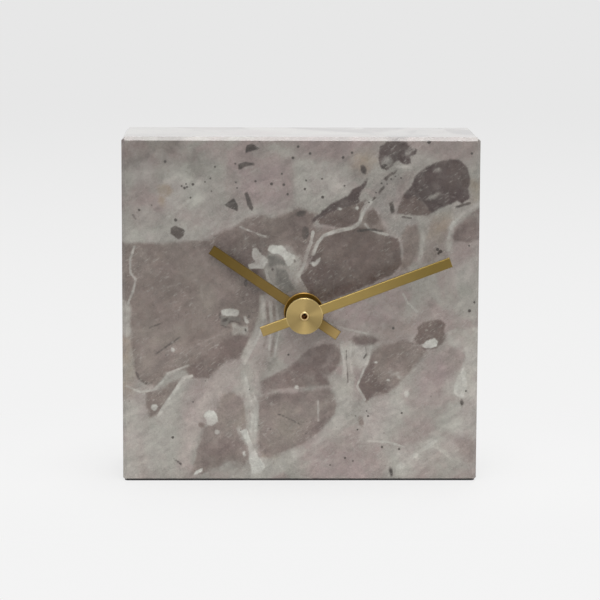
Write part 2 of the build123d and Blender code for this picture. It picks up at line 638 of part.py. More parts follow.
def rotor_pinion():
    body = pinion(ROTOR_PINION_TEETH, ROTOR_MODULE, ROTOR_PHASE, ROTOR, FIFTH_LEVEL)
    return body + pivots(ROTOR, ROTOR_SHOULDER + END_PLAY)


def rotor_magnet():
    return ring(MAGNET_RADIUS, ARBOR_RADIUS, MAGNET_FRONT, MAGNET_BACK, ROTOR)


# Stepping motor and circuit

def stator():
    left = STATOR_MIDDLE - STATOR_HALF
    right = STATOR_MIDDLE + STATOR_HALF
    leg_top = COIL_HEIGHT + COIL_CORE_HEIGHT / 2
    outline = panel(left, right, STATOR_BOTTOM, STATOR_STRIP_TOP, ARBOR_RADIUS)
    outline += Pos(*ROTOR) * Circle(STATOR_BORE + STATOR_RING_WIDTH)
    outline += panel(left, left + STATOR_LEG_WIDTH, STATOR_BOTTOM, leg_top, ARBOR_RADIUS)
    outline += panel(right - STATOR_LEG_WIDTH, right, STATOR_BOTTOM, leg_top, ARBOR_RADIUS)
    outline -= Pos(*ROTOR) * Circle(STATOR_BORE)
    return slab(outline, STATOR_LEVEL, STATOR_BACK)


def coil_span(half_length):
    return (STATOR_MIDDLE - half_length, STATOR_MIDDLE + half_length)


def coil_turn(radius, half_length):
    """Cylinder along the axis of the coil, from end to end of a length about its middle."""
    place = Pos(STATOR_MIDDLE, COIL_DEPTH, COIL_HEIGHT) * Rot(0, 90, 0)
    return place * Cylinder(radius, 2 * half_length)


def coil_core():
    half_height = COIL_CORE_HEIGHT / 2
    height_span = (COIL_HEIGHT - half_height, COIL_HEIGHT + half_height)
    return brick(coil_span(STATOR_HALF), (STATOR_BACK, COIL_CORE_BACK), height_span)


def coil_bobbin():
    half = BOBBIN_LENGTH / 2
    inner_half = half - BOBBIN_FLANGE_THICKNESS
    body = coil_turn(BOBBIN_FLANGE_RADIUS, half) - coil_turn(BOBBIN_FLANGE_RADIUS + CUT_OVERRUN, inner_half)
    body += coil_turn(BOBBIN_SPOOL_RADIUS, half)
    return body - coil_core()


def coil_winding():
    inner_half = BOBBIN_LENGTH / 2 - BOBBIN_FLANGE_THICKNESS
    return coil_turn(WINDING_RADIUS, inner_half) - coil_turn(BOBBIN_SPOOL_RADIUS, BOBBIN_LENGTH / 2)


def circuit_board():
    outline = panel(BOARD_LEFT, BOARD_RIGHT, BOARD_BOTTOM, BOARD_TOP, ARBOR_RADIUS)
    return slab(outline, BOARD_LEVEL, BOARD_BACK)


def clock_chip():
    place = (BOARD_LEFT + BOARD_WIDTH / 4, BOARD_MIDDLE[1])
    blob = disc(CHIP_RADIUS, BOARD_BACK, BOARD_BACK + CHIP_HEIGHT, place)
    return fillet(blob.edges().sort_by(Axis.Y)[-1], CHIP_HEIGHT / 2)


def quartz_crystal():
    place = Pos(BOARD_RIGHT - BOARD_WIDTH / 4, BOARD_BACK + CRYSTAL_RADIUS, BOARD_TOP - BOARD_HEIGHT / 4)
    return place * Rot(0, 90, 0) * Cylinder(CRYSTAL_RADIUS, CRYSTAL_LENGTH)


# Contacts: a plate at each end of the bay, with a strip up to the circuit board

def strip_depths(behind_board):
    """Depths of a strip that reaches the front or the back of the board."""
    if behind_board:
        return (BOARD_BACK, BOARD_BACK + CONTACT_STRIP_WIDTH)
    return (BOARD_LEVEL - CONTACT_STRIP_WIDTH, BOARD_LEVEL)


def contact_plate(x_span):
    half = CONTACT_HEIGHT / 2
    return brick(x_span, (CASE_WALL, COVER_LEVEL), (BATTERY_HEIGHT - half, BATTERY_HEIGHT + half))


def board_strip(bottom, behind_board):
    """Strip up the right wall, with a tab on the face of the board."""
    depths = strip_depths(behind_board)
    tab_top = BOARD_BOTTOM + CONTACT_TAB_LENGTH
    strip = brick((CONTACT_FACE, BAY_HALF), depths, (bottom, tab_top))
    tab_front = BOARD_BACK if behind_board else BOARD_LEVEL - CONTACT_THICKNESS
    tab_span = (BOARD_RIGHT - CONTACT_TAB_LENGTH, BAY_HALF)
    return strip + brick(tab_span, (tab_front, tab_front + CONTACT_THICKNESS), (BOARD_BOTTOM, tab_top))


def positive_contact():
    body = contact_plate((CONTACT_FACE, BAY_HALF))
    dimple_end = BATTERY_POSITIVE_END + CONTACT_GAP
    dimple = Cylinder(POSITIVE_DIMPLE_RADIUS, CONTACT_FACE - dimple_end)
    place = Pos((CONTACT_FACE + dimple_end) / 2, BATTERY_DEPTH, BATTERY_HEIGHT)
    body += place * Rot(0, 90, 0) * dimple
    return body + board_strip(BATTERY_HEIGHT, False)


def bow(reach, half_height):
    """Arc from the left end of the bay out to a reach and back, over a height."""
    face = -CONTACT_FACE
    low = (face, BATTERY_HEIGHT - half_height)
    high = (face, BATTERY_HEIGHT + half_height)
    return ThreePointArc(low, (reach, BATTERY_HEIGHT), high) + Line(high, low)


def negative_contact():
    wall_span = (-BAY_HALF, -CONTACT_FACE)
    body = contact_plate(wall_span)
    reach = BATTERY_NEGATIVE_END - CONTACT_GAP
    half = CONTACT_HEIGHT / 2
    leaf = make_face(bow(reach, half)) - make_face(bow(reach - CONTACT_THICKNESS, half - CONTACT_THICKNESS))
    body += slab(leaf, BATTERY_DEPTH - CONTACT_STRIP_WIDTH, BATTERY_DEPTH + CONTACT_STRIP_WIDTH)
    depths = strip_depths(True)
    shelf_top = ROOM_BOTTOM + CONTACT_THICKNESS
    body += brick(wall_span, depths, (BATTERY_HEIGHT, shelf_top))
    body += brick((-BAY_HALF, BAY_HALF), depths, (ROOM_BOTTOM, shelf_top))
    return body + board_strip(ROOM_BOTTOM, True)


# Battery

def along_battery(radius, low, high):
    """Cylinder on the axis of the battery, between two values of x."""
    place = Pos((low + high) / 2, BATTERY_DEPTH, BATTERY_HEIGHT) * Rot(0, 90, 0)
    return place * Cylinder(radius, high - low)


BATTERY_SHOULDER = BATTERY_POSITIVE_END - BATTERY_NUB_LENGTH
BATTERY_CAN_RADIUS = BATTERY_DIAMETER / 2 - BATTERY_WRAP_THICKNESS


def battery_can():
    low = BATTERY_NEGATIVE_END + BATTERY_WRAP_THICKNESS
    high = BATTERY_SHOULDER - BATTERY_WRAP_THICKNESS
    body = along_battery(BATTERY_CAN_RADIUS, low, high)
    flat_radius = BATTERY_CAN_RADIUS - BATTERY_WRAP_LIP - BAY_CLEARANCE
    body += along_battery(flat_radius, BATTERY_NEGATIVE_END, low)
    nub = along_battery(BATTERY_NUB_DIAMETER / 2, high, BATTERY_POSITIVE_END)
    nub = fillet(nub.edges().sort_by(Axis.X)[-1], BATTERY_EDGE_RADIUS)
    return body + nub


def battery_wrap():
    outer = along_battery(BATTERY_DIAMETER / 2, BATTERY_NEGATIVE_END, BATTERY_SHOULDER)
    inner_low = BATTERY_NEGATIVE_END + BATTERY_WRAP_THICKNESS
    inner_high = BATTERY_SHOULDER - BATTERY_WRAP_THICKNESS
    mouth = BATTERY_CAN_RADIUS - BATTERY_WRAP_LIP
    body = outer - along_battery(BATTERY_CAN_RADIUS, inner_low, inner_high)
    return body - along_battery(mouth, BATTERY_NEGATIVE_END - CUT_OVERRUN, BATTERY_SHOULDER + CUT_OVERRUN)


# Case of the movement

def boss(at, shoulder, radius=BOSS_RADIUS):
    """Post on the front wall with a blind hole for a pivot."""
    hole_end = shoulder - PIVOT_LENGTH - END_PLAY
    post = disc(radius, CASE_WALL, shoulder, at)
    return post - disc(PIVOT_RADIUS + RUNNING_CLEARANCE, hole_end, shoulder + CUT_OVERRUN, at)


def board_posts():
    inset = BOARD_POST_RADIUS
    places = [(BOARD_LEFT + inset, BOARD_TOP - inset), (BOARD_RIGHT - inset, BOARD_TOP - inset)]
    places.append((BOARD_LEFT + inset, BOARD_BOTTOM + inset))
    return [disc(BOARD_POST_RADIUS, CASE_WALL, BOARD_LEVEL, place) for place in places]


def strip_slot(side, behind_board):
    """Passage through the partition for the strip of a contact."""
    front, back = strip_depths(behind_board)
    inner = CONTACT_FACE - BAY_CLEARANCE
    x_span = (inner, BAY_HALF) if side > 0 else (-BAY_HALF, -inner)
    depths = (front - BAY_CLEARANCE, back + BAY_CLEARANCE)
    return brick(x_span, depths, (BAY_TOP - CUT_OVERRUN, ROOM_BOTTOM + CUT_OVERRUN))


def movement_front_case():
    outline = panel(-CASE_HALF, CASE_HALF, CASE_BOTTOM, CASE_TOP, CASE_CORNER_RADIUS)
    body = slab(outline, 0, CASE_DEPTH)
    above = (BAY_TOP, CASE_TOP + CUT_OVERRUN)
    whole = (-CASE_HALF - CUT_OVERRUN, CASE_HALF + CUT_OVERRUN)
    body -= brick(whole, (COVER_LEVEL, CASE_DEPTH + CUT_OVERRUN), above)
    inside = (CASE_WALL, CASE_DEPTH + CUT_OVERRUN)
    body -= brick((-ROOM_HALF, ROOM_HALF), inside, (ROOM_BOTTOM, ROOM_TOP))
    body -= brick((-BAY_HALF, BAY_HALF), inside, (BAY_BOTTOM, BAY_TOP))
    notch = Cylinder(BAY_NOTCH_RADIUS, 2 * CASE_WALL + CUT_OVERRUN)
    body -= Pos(0, CASE_DEPTH, CASE_BOTTOM) * notch
    body -= strip_slot(1, False)
    body -= strip_slot(-1, True)
    body -= disc(BUSH_RADIUS, -CUT_OVERRUN, CASE_WALL + CUT_OVERRUN)
    body -= disc(BUSH_FLANGE_RADIUS, CASE_WALL - BUSH_FLANGE_THICKNESS, CASE_WALL + CUT_OVERRUN)
    body += boss(THIRD, THIRD_SHOULDER)
    body += boss(FIFTH, FIFTH_SHOULDER)
    body += boss(ROTOR, ROTOR_SHOULDER)
    body += boss(SETTING, SETTING_SHOULDER)
    body += disc(MOTION_POST_RADIUS, CASE_WALL, MOTION_LEVEL + WHEEL_THICKNESS, MOTION)
    for place in PILLARS:
        body += disc(PILLAR_RADIUS, CASE_WALL, BRIDGE_LEVEL, place)
        body += disc(PILLAR_PIN_RADIUS, BRIDGE_LEVEL, BRIDGE_BACK, place)
    for post in board_posts():
        body += post
    return body


def gear_bridge():
    left = -ROOM_HALF + BRIDGE_MARGIN
    right = ROOM_HALF - BRIDGE_MARGIN
    top = PILLAR_HIGH + PILLAR_RADIUS
    outline = panel(left, right, PILLAR_LOW - PILLAR_RADIUS, top, PILLAR_RADIUS)
    lobe = BRIDGE_LOBE_RADIUS
    outline += panel(ROTOR[0] - lobe, ROTOR[0] + lobe, 0, ROTOR[1] + lobe, PILLAR_RADIUS)
    pivot_hole = PIVOT_RADIUS + RUNNING_CLEARANCE
    for place in (CENTRE, THIRD, FIFTH, ROTOR):
        outline -= Pos(*place) * Circle(pivot_hole)
    outline -= Pos(*SETTING) * Circle(SETTING_ARBOR_RADIUS + RUNNING_CLEARANCE)
    for place in PILLARS:
        outline -= Pos(*place) * Circle(PILLAR_PIN_RADIUS)
    return slab(outline, BRIDGE_LEVEL, BRIDGE_BACK)


def back_cover():
    edge = CASE_CORNER_RADIUS
    plate = panel(-CASE_HALF, CASE_HALF, BAY_TOP - edge, CASE_TOP, edge)
    below = Pos(0, BAY_TOP - edge) * Rectangle(2 * CASE_HALF + CUT_OVERRUN, 2 * edge)
    body = slab(plate - below, COVER_LEVEL, CASE_DEPTH)
    gap = RUNNING_CLEARANCE
    left, right = -ROOM_HALF + gap, ROOM_HALF - gap
    bottom, top = ROOM_BOTTOM + gap, ROOM_TOP - gap
    wide = COVER_LIP_WIDTH
    lip = panel(left, right, bottom, top, CASE_CORNER_RADIUS - CASE_WALL)
    lip -= panel(left + wide, right - wide, bottom + wide, top - wide, CASE_CORNER_RADIUS - CASE_WALL)
    body += slab(lip, COVER_LEVEL - COVER_LIP_HEIGHT, COVER_LEVEL)
    inner = KNOB_DIAMETER / 2 + LOOSE_CLEARANCE
    body += ring(inner + COVER_RING_WIDTH, inner, CASE_DEPTH, CASE_DEPTH + COVER_RING_HEIGHT, SETTING)
    hole = SETTING_ARBOR_RADIUS + LOOSE_CLEARANCE
    return body - disc(hole, COVER_LEVEL - CUT_OVERRUN, CASE_DEPTH + CUT_OVERRUN, SETTING)


CLOCK_PIECES = (marble_block, base_pad)
MOVEMENT_PIECES = (
    movement_front_case,
    threaded_bush,
    gasket,
    nut_washer,
    hex_nut,
    gear_bridge,
    back_cover,
    stator,
    coil_core,
    coil_bobbin,
    coil_winding,
    circuit_board,
    clock_chip,
    quartz_crystal,
    positive_contact,
    negative_contact,
    minute_tube,
    clutch_spring,
    clutch_collar,
    minute_hand,
    minute_hand_bush,
    hour_wheel,
    hour_hand,
    hour_hand_bush,
    motion_work_wheel,
    setting_arbor,
    setting_knob,
    rotor_magnet,
    rotor_pinion,
    fifth_wheel,
    seconds_wheel,
    seconds_shaft,
    third_wheel,
    centre_wheel,
    battery_can,
    battery_wrap,
)


def save(piece, solid):
    export_step(solid, f"parts/{piece.__name__}.step")


os.makedirs("parts", exist_ok=True)
for piece in CLOCK_PIECES:
    save(piece, piece())
for piece in MOVEMENT_PIECES:
    save(piece, MOVEMENT_PLACE * piece())
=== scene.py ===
import json
from dataclasses import dataclass
from math import cos, pi, radians, sin

import bmesh
import bpy
import numpy as np
from mathutils import Matrix, Vector


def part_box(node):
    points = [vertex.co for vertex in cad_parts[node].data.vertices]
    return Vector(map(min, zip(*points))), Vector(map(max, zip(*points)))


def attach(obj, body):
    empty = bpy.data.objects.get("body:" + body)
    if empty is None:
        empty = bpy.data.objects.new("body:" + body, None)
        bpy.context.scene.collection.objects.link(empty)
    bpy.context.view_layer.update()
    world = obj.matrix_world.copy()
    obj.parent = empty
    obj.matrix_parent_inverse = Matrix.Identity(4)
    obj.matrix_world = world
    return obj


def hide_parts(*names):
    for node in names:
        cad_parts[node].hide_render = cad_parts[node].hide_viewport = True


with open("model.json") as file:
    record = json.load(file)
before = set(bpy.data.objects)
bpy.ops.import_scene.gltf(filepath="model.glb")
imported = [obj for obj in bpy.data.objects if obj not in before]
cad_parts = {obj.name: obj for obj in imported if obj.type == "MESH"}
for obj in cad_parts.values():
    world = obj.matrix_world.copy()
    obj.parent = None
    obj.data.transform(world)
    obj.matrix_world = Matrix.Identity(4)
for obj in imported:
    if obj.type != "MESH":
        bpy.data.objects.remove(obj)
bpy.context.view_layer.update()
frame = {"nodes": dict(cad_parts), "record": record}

# Looks of a marble table clock. Metres, in the clock's own frame: X to the right as seen from the front,
# Y to the back, Z up, the origin under the middle of the clock.

MM = 0.001
TINY = 1e-18

# Camera
CAMERA_PLACE = (-20.0 * MM, -900.0 * MM, 195.5 * MM)
CAMERA_PITCH = radians(8.614)
CAMERA_YAW = radians(1.288)
CAMERA_ROLL = radians(0.254)
IMAGE_SIZE = 600
FOCAL_PIXELS = 2646.0
SENSOR_WIDTH = 36.0
CLIP_START = 10.0 * MM
SCALE_MARKS = [(200, 300), (400, 300)]

# Stone: the block
STONE_LOW, STONE_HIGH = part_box("marble_block")
EDGE_CHAMFER = 1.2 * MM
FOOT_CHAMFER = 0.4 * MM
MOUTH_CHAMFER = 0.8 * MM
RECESS_CORNER = 2.0 * MM
RECESS_MARGIN = 4.0 * MM
RECESS_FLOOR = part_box("gasket")[0].y
HOLE_RADIUS = 4.3 * MM
HAND_AXIS_X = sum(corner.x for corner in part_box("threaded_bush")) / 2
HAND_AXIS_Z = sum(corner.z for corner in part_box("threaded_bush")) / 2
SHARP_ANGLE = radians(28)

# Stone: spacing of its mesh
FACE_STEP = 1.0 * MM
DEPTH_STEP = 1.6 * MM
EDGE_LINE_SHARES = (0.0, 0.45, 1.0)
RING_SPACING = 2.0 * MM
WELD = 0.001 * MM
FLATNESS = 0.012 * MM

# Stone: outlines on the face, in pixels of the camera's image
LEFT_FIELD = [
    (110, 244), (139, 242.6), (162, 243.2), (181, 242), (198, 241.5), (208, 239.6), (215, 235),
    (225, 230.3), (233, 227.9), (240, 223.2), (246, 219), (254, 216.7), (262.5, 215.5), (268, 217.3),
    (279, 222), (284, 232), (275, 243), (262, 262), (268, 285), (262, 300), (260, 316), (254, 332),
    (246, 350), (239, 358), (226, 361), (216, 369.6), (209, 377.3), (192, 377.3), (184.6, 370.8),
    (177, 370), (168, 373), (162, 381), (154, 386), (146, 384), (138, 379), (134, 366), (131, 340),
    (127, 315), (110, 305),
]
BRIDGE = [
    (262, 222), (284, 214), (300, 208), (316, 214), (312, 227), (335, 229), (358, 224), (366, 210),
    (380, 216), (386, 232), (360, 231), (335, 236), (322, 241), (312, 258), (303, 264), (288, 246),
    (272, 246), (262, 240),
]
SCRAP = [
    (146, 390), (158, 392), (170, 383), (180, 378), (176, 390), (166, 402), (158, 414), (150, 418),
    (146, 405),
]
SMALL_FIELD = [
    (285, 222), (296, 211), (306, 210), (311, 222), (310, 240), (303, 262), (296, 250), (286, 240),
]
CENTRE_FIELD = [
    (318, 244), (324, 237), (335, 233.5), (348, 230.5), (358, 228), (372, 227.5), (385, 234), (398, 239),
    (401, 251), (401.6, 263), (392, 275), (367, 286), (343, 296), (325, 302), (313, 299), (304, 287),
    (300, 276), (306, 269), (311, 260),
]
CENTRE_LOBE = [
    (401, 234), (408, 226), (416, 225), (421, 235), (419, 251), (411, 265), (401, 270), (403, 250),
]
WEDGE = [
    (311, 220), (320, 213.6), (331, 204), (348, 196), (353, 189.5), (360, 186), (367.5, 178.5),
    (367, 184.5), (360.4, 192), (359, 199), (362, 201), (352, 206), (340, 209), (328, 213), (318, 219),
    (312, 224),
]
WEDGE_FOOT = [
    (316, 219), (328, 212), (340, 208), (352, 205), (366, 200), (361, 212), (358.5, 222), (347, 227),
    (335, 227), (320, 224),
]
TOP_CLAST = [
    (380, 147), (387, 142), (396, 140.2), (406, 142), (411, 148), (417.4, 149), (416, 154), (410, 157),
    (411, 163), (404, 164.5), (397, 160.5), (393, 166.5), (387, 170), (381, 167.5), (378.6, 160.3),
]
BIG_CLAST = [
    (411, 184.5), (416, 175), (426, 167.6), (438, 161.5), (451, 159), (460, 160.3), (467, 166.4),
    (470.7, 178.5), (468.5, 188), (470, 198), (462, 203.5), (457, 200.5), (440, 209), (432, 213),
    (424, 203), (414, 196), (407, 200), (404, 195.4),
]
CLAST_FOOT = [
    (396.8, 213.6), (400, 202.5), (404, 195.4), (411, 188), (424, 196), (436, 208), (428, 216), (411, 215),
]
RIGHT_PATCH = [
    (484, 205), (476, 209), (467, 217), (457, 227), (451, 236.5), (455, 241.5), (467, 242.5), (484, 238),
]
LENS = [
    (184.6, 370.8), (191.7, 377.3), (209.4, 377.3), (216.5, 369.6), (226, 361.4), (239, 356.6), (245, 347),
    (249.5, 338), (239, 334), (227, 340), (209, 351), (195, 362.5),
]
LOW_LEFT_CLAST = [
    (218.8, 403.8), (225, 394.4), (234, 392), (242.4, 400), (247, 412), (244.8, 427), (240, 431),
    (249.5, 447.5), (248, 459), (242, 470), (235, 465), (227, 461.6), (217.6, 466.4), (205, 472.3),
    (190.5, 475), (195, 459), (200, 441.6), (203.5, 428.6), (215, 420),
]
MIDDLE_CLAST = [
    (260, 382), (268, 377), (280, 371), (292, 366), (300, 356), (305, 353), (313, 346.5), (325, 343),
    (335, 344.5), (341, 352), (342, 360.5), (335, 369.5), (328, 377.5), (329, 385), (313, 387),
    (300, 388.5), (275, 390), (262, 394),
]
RIGHT_SHADE = [
    (372, 352), (376, 362), (373, 372), (382, 384), (396, 386), (388, 392), (372, 396), (366, 402),
    (362, 393), (357, 384), (364, 372), (369, 361),
]
LOW_CLAST = [
    (261, 397), (258, 412), (259, 432), (257, 442), (262, 452), (268, 458), (280, 453), (300, 445),
    (307, 440.5), (319, 432), (328, 421), (335, 412.5), (336.5, 404), (334, 394.5), (329, 388.5),
    (300, 392), (275, 393.5),
]
RIGHT_CLAST = [
    (372.5, 352), (370, 360), (365, 371.5), (357, 384), (363, 394.5), (366, 403), (372, 395.5),
    (382, 394.5), (393, 390), (403, 379), (411, 371.5), (420, 359.4), (427, 352), (416, 342), (404, 341.2),
    (387, 344), (378, 347),
]
DARK_BLOB = [
    (413, 340), (418, 333), (417, 327), (424, 322), (432, 320), (440, 319.5), (446, 324), (444, 331),
    (446, 337), (442, 344), (436, 348), (424, 350),
]
OVAL = [(351, 340), (356, 336.5), (364, 335), (372, 336), (379, 340), (374, 344), (366, 346), (357, 344.5)]
GREY_CHIP = [(366, 222), (368, 213), (373, 208), (376, 212), (379.5, 220), (377, 225), (370, 226)]
CORNER_BROWN = [(457, 441), (470, 438), (484, 442), (484, 458), (466, 461), (458, 455)]
PINK_AREAS = [
    [(300, 139), (381, 139), (376, 150), (352, 158), (322, 160), (298, 156)],
    [(232, 165), (262, 160), (290, 168), (291, 196), (284, 210), (262, 206), (240, 212), (233, 195)],
    [(425, 139), (456, 139), (454, 152), (440, 150)],
    [(318, 310), (345, 298), (372, 300), (400, 300), (405, 320), (385, 335), (352, 326), (322, 322)],
    [(315, 445), (350, 436), (385, 445), (388, 470), (380, 482), (312, 482)],
    [(186, 395), (206, 378), (238, 366), (240, 380), (224, 392), (212, 412), (196, 430), (186, 420)],
    [(428, 352), (448, 346), (460, 356), (456, 378), (446, 392), (420, 400), (412, 385)],
    [(124, 392), (146, 396), (146, 420), (140, 450), (124, 450)],
]
PALE_AREAS = [
    [
        (118, 228), (160, 232), (200, 225), (225, 215), (245, 207), (262, 208), (256, 215), (240, 222),
        (225, 229), (208, 238), (198, 240.5), (162, 242), (118, 242),
    ],
    [(128, 163), (152, 163), (152, 182), (128, 182)],
    [(166, 168), (190, 170), (205, 184), (203, 212), (180, 218), (163, 205), (160, 182)],
    [(296, 160), (330, 162), (362, 175), (350, 190), (330, 200), (312, 208), (297, 205)],
    [(118, 400), (140, 404), (146, 425), (142, 450), (140, 486), (118, 486)],
    [
        (156, 404), (168, 381), (184, 378), (190, 384), (178, 400), (170, 428), (180, 445), (172, 480),
        (150, 486), (140, 450),
    ],
    [(366, 404), (398, 398), (410, 410), (395, 425), (382, 440), (362, 440), (358, 428)],
    [(338, 395), (352, 400), (345, 420), (330, 436), (316, 444), (322, 430)],
    [(446, 400), (470, 398), (484, 405), (484, 436), (462, 438), (440, 425)],
    [(446, 380), (470, 372), (484, 380), (484, 402), (462, 402), (446, 398)],
    [(452, 264), (472, 262), (470, 284), (456, 286)],
    [
        (386, 446), (404, 450), (424, 442), (442, 434), (450, 440), (436, 452), (422, 464), (412, 482),
        (384, 484),
    ],
]
GREY_AREAS = [
    [
        (374, 186), (388, 176), (404, 172), (411, 174), (404, 186), (398, 198), (395, 212), (404, 219),
        (416, 221), (412, 230), (398, 234), (386, 229), (382, 214), (374, 205),
    ],
]
PALE_STRIP = [
    (262, 300), (268, 285), (277, 300), (276, 330), (268, 352), (262, 374), (256, 385), (247, 374),
    (249, 354), (257, 332),
]
BLUSH_AREAS = [
    PALE_STRIP,
    [
        (222, 366), (236, 362), (243, 356), (244, 366), (240, 378), (228, 388), (214, 404), (204, 424),
        (196, 444), (188, 470), (176, 470), (182, 440), (192, 410), (206, 388),
    ],
]
FAINT_AREAS = [
    [(350, 164), (364, 160), (371, 168), (364, 180), (352, 178)],
    [(397, 186), (404, 174), (414, 171), (410, 184), (403, 195)],
    [(380, 327), (400, 320), (414, 320), (415, 333), (400, 341), (380, 343)],
    [(424, 226), (446, 222), (447, 240), (446, 258), (432, 262), (420, 264), (424, 245)],
    [(448, 352), (458, 352), (462, 362), (456, 372), (446, 370), (441, 360)],
]
TAN_AREAS = [
    [(352, 150), (368, 148), (376, 160), (366, 172), (352, 166)],
    [(120, 335), (132, 340), (134, 375), (132, 392), (120, 395)],
    [(469, 180), (484, 182), (484, 203), (472, 202)],
    [(262, 440), (278, 440), (276, 456), (264, 456)],
    [(430, 218), (448, 214), (452, 226), (440, 240), (430, 235)],
    [(172, 340), (192, 328), (206, 330), (196, 342), (178, 352)],
]
SHADE_AREAS = [
    [(256, 356), (262, 350), (276, 352), (272, 368), (262, 378), (257, 372)],
    [(118, 136), (183, 136), (180, 150), (172, 160), (150, 163), (135, 170), (118, 172)],
    [(195, 150), (200, 175), (193, 178), (190, 160)],
    [(303, 285), (318, 276), (340, 282), (352, 292), (330, 302), (312, 300)],
    [(440, 165), (462, 162), (469, 180), (468, 196), (455, 195), (445, 180)],
    [(361, 378), (380, 366), (386, 380), (384, 392), (366, 392)],
    [(198, 444), (239, 440), (236, 462), (204, 466)],
    [(248, 296), (261, 294), (260, 312), (250, 316)],
    [(283, 283), (292, 281), (296, 287), (288, 291), (280, 289)],
    [(222, 236), (262, 228), (275, 243), (262, 262), (266, 285), (258, 300), (236, 280), (222, 256)],
    [(285, 222), (297, 212), (309, 216), (308, 240), (300, 246), (290, 240)],
    [(262, 396), (300, 393), (330, 390), (334, 398), (318, 402), (290, 402), (268, 408)],
    [(318, 432), (330, 418), (336, 404), (329, 404), (320, 418), (306, 434)],
]
LIGHT_AREAS = [
    [(138, 330), (172, 322), (190, 335), (180, 352), (150, 370), (138, 372)],
    [(200, 290), (215, 286), (225, 298), (210, 312), (198, 304)],
    [(222, 394), (236, 394), (246, 412), (242, 430), (222, 426)],
    [(266, 410), (290, 404), (310, 412), (300, 436), (270, 444)],
]
PALE_COLUMN = [
    (342, 342), (350, 341), (354, 360), (354, 382), (352, 398), (344, 398), (340, 385), (343, 364),
]
PALE_RIGHT = [
    (446.5, 332.7), (455, 329), (484, 328), (484, 372), (469, 373), (464, 352), (456, 348.5), (449, 343.6),
]
PALE_TRIANGLE = [(352, 347), (370, 346), (372, 352), (367, 366), (358, 368)]
PALE_BOTTOM = [
    (250, 470), (262, 458), (275, 460), (290, 452), (303, 446), (308, 450), (290, 466), (272, 478),
    (250, 486),
]
PALE_FLARE = [(417, 217), (433, 215), (429, 227), (424, 240), (420, 240), (421, 228)]
PALE_BANK = [
    (463, 366), (468, 350), (474, 352), (476, 372), (470, 392), (464, 400), (456, 400), (452, 392),
    (456, 376),
]
PALE_BAND = [
    (240.5, 392), (250.7, 400.3), (255.4, 397.9), (258.3, 406.2), (257.8, 418), (256, 431), (249.5, 431),
    (246.5, 413.3),
]
PALE_LEFT = [(118, 300), (126, 300), (131, 308), (130, 320), (131, 335), (122, 338), (118, 338)]
PALE_FOOT = [(230, 469.9), (237.7, 468.7), (243.6, 473.4), (244.8, 480), (235.3, 480)]
SPAR_LEFT = [
    (252.5, 248.6), (255.7, 248.1), (258.4, 250.2), (259.4, 252.9), (263.2, 255.6), (268, 259.9),
    (268, 262), (265.3, 264.1), (263.7, 268.4), (253.5, 269), (249.8, 269), (248.2, 266.8), (248.4, 264.1),
    (255.7, 262), (254, 258.8), (251.4, 257.2), (252.2, 253.4),
]
SPAR_MIDDLE = [
    (268.5, 246.2), (272.8, 245.4), (281.4, 245.4), (283.5, 247), (285.7, 250.2), (288.3, 252.4),
    (294.8, 255), (295.8, 257.7), (293.7, 259.3), (293.7, 263), (288.3, 266.8), (286.2, 263.6),
    (284.6, 259.9), (280.9, 255), (277.6, 254), (271.2, 253.4), (268.5, 250.7),
]
SPAR_RIGHT = [
    (295.8, 256.1), (300.1, 255.6), (301.7, 258.2), (301.2, 264.1), (298.5, 269.5), (297.5, 274.3),
    (294.8, 277.5), (292.1, 282.3), (290.5, 283.4), (290, 278), (288.3, 273.2), (289.4, 266.3),
    (293.7, 263),
]
SPAR_SMALL = [
    (309.8, 263), (311.9, 261.7), (314.6, 262), (317.3, 258.8), (320, 258.2), (320.5, 261.5),
    (317.8, 264.1), (315.1, 266.3), (312.5, 266.3),
]
SPAR_TOOTH = [
    (221.4, 310.3), (225.4, 309.2), (228.6, 308.6), (235.2, 309.4), (238.8, 310.6), (239.2, 312.5),
    (237.7, 315.4), (235.9, 316.8), (232.3, 315.7), (223.2, 315.4), (221.7, 313.5),
]
SPAR_KNEE = [
    (231.2, 323.4), (234.8, 323), (240.6, 325.9), (246.8, 325.9), (247.9, 328.5), (246.5, 335),
    (243.5, 334.3), (234.1, 334.3), (231.9, 333.5), (232.6, 329.5),
]
SPAR_CHIP = [
    (243.9, 316.5), (245.4, 316.5), (246.1, 318.6), (248.6, 320.1), (249, 322.3), (247.5, 324.1),
    (245, 322.6),
]
SPAR_LOW = [
    (202.9, 415.6), (208.2, 410.3), (214.1, 410.3), (217.6, 416.8), (217.6, 421.5), (211.7, 425.6),
    (207, 425), (205.8, 419.2),
]
SPAR_BLOB = [(420.5, 346), (425.9, 341.2), (434.4, 338.2), (438, 341.2), (436.8, 346), (428.3, 348.5)]
SPAR_EDGE = [
    (453.8, 387.3), (457.4, 377.6), (463.5, 367.9), (465.9, 372.7), (467.1, 387.3), (463.5, 397),
    (457.4, 397), (453.8, 392.1),
]
SPAR_VEIN = [
    (239.5, 429.8), (246.6, 429.2), (250.7, 439.2), (256, 452.2), (262.5, 462.8), (266, 467.5),
    (261.3, 473.4), (251.9, 473.4), (249.5, 462.8), (249.5, 456.9), (248.3, 447.5), (243.6, 436.9),
]
SPAR_SLIVER = [(192.9, 474.6), (197.6, 469.9), (202.9, 468.1), (202.3, 470.5), (196.4, 474.6)]
SPAR_CORE = [
    (268, 255), (275.5, 255.6), (280.8, 257.7), (285.1, 262), (287.3, 266.3), (283.5, 265.2),
    (276.6, 264.1), (272.3, 267.4), (268, 266.3), (269.1, 262),
]
TOOTH_ROOT = [
    (220.3, 316.1), (239.9, 316.8), (240.3, 321.2), (237, 321.2), (230.5, 320.5), (228.3, 324.1),
    (226, 327), (221, 325),
]
SPAR_SHADOW = [(276, 268), (286, 270), (290, 280), (296, 290), (284, 292), (276, 284)]
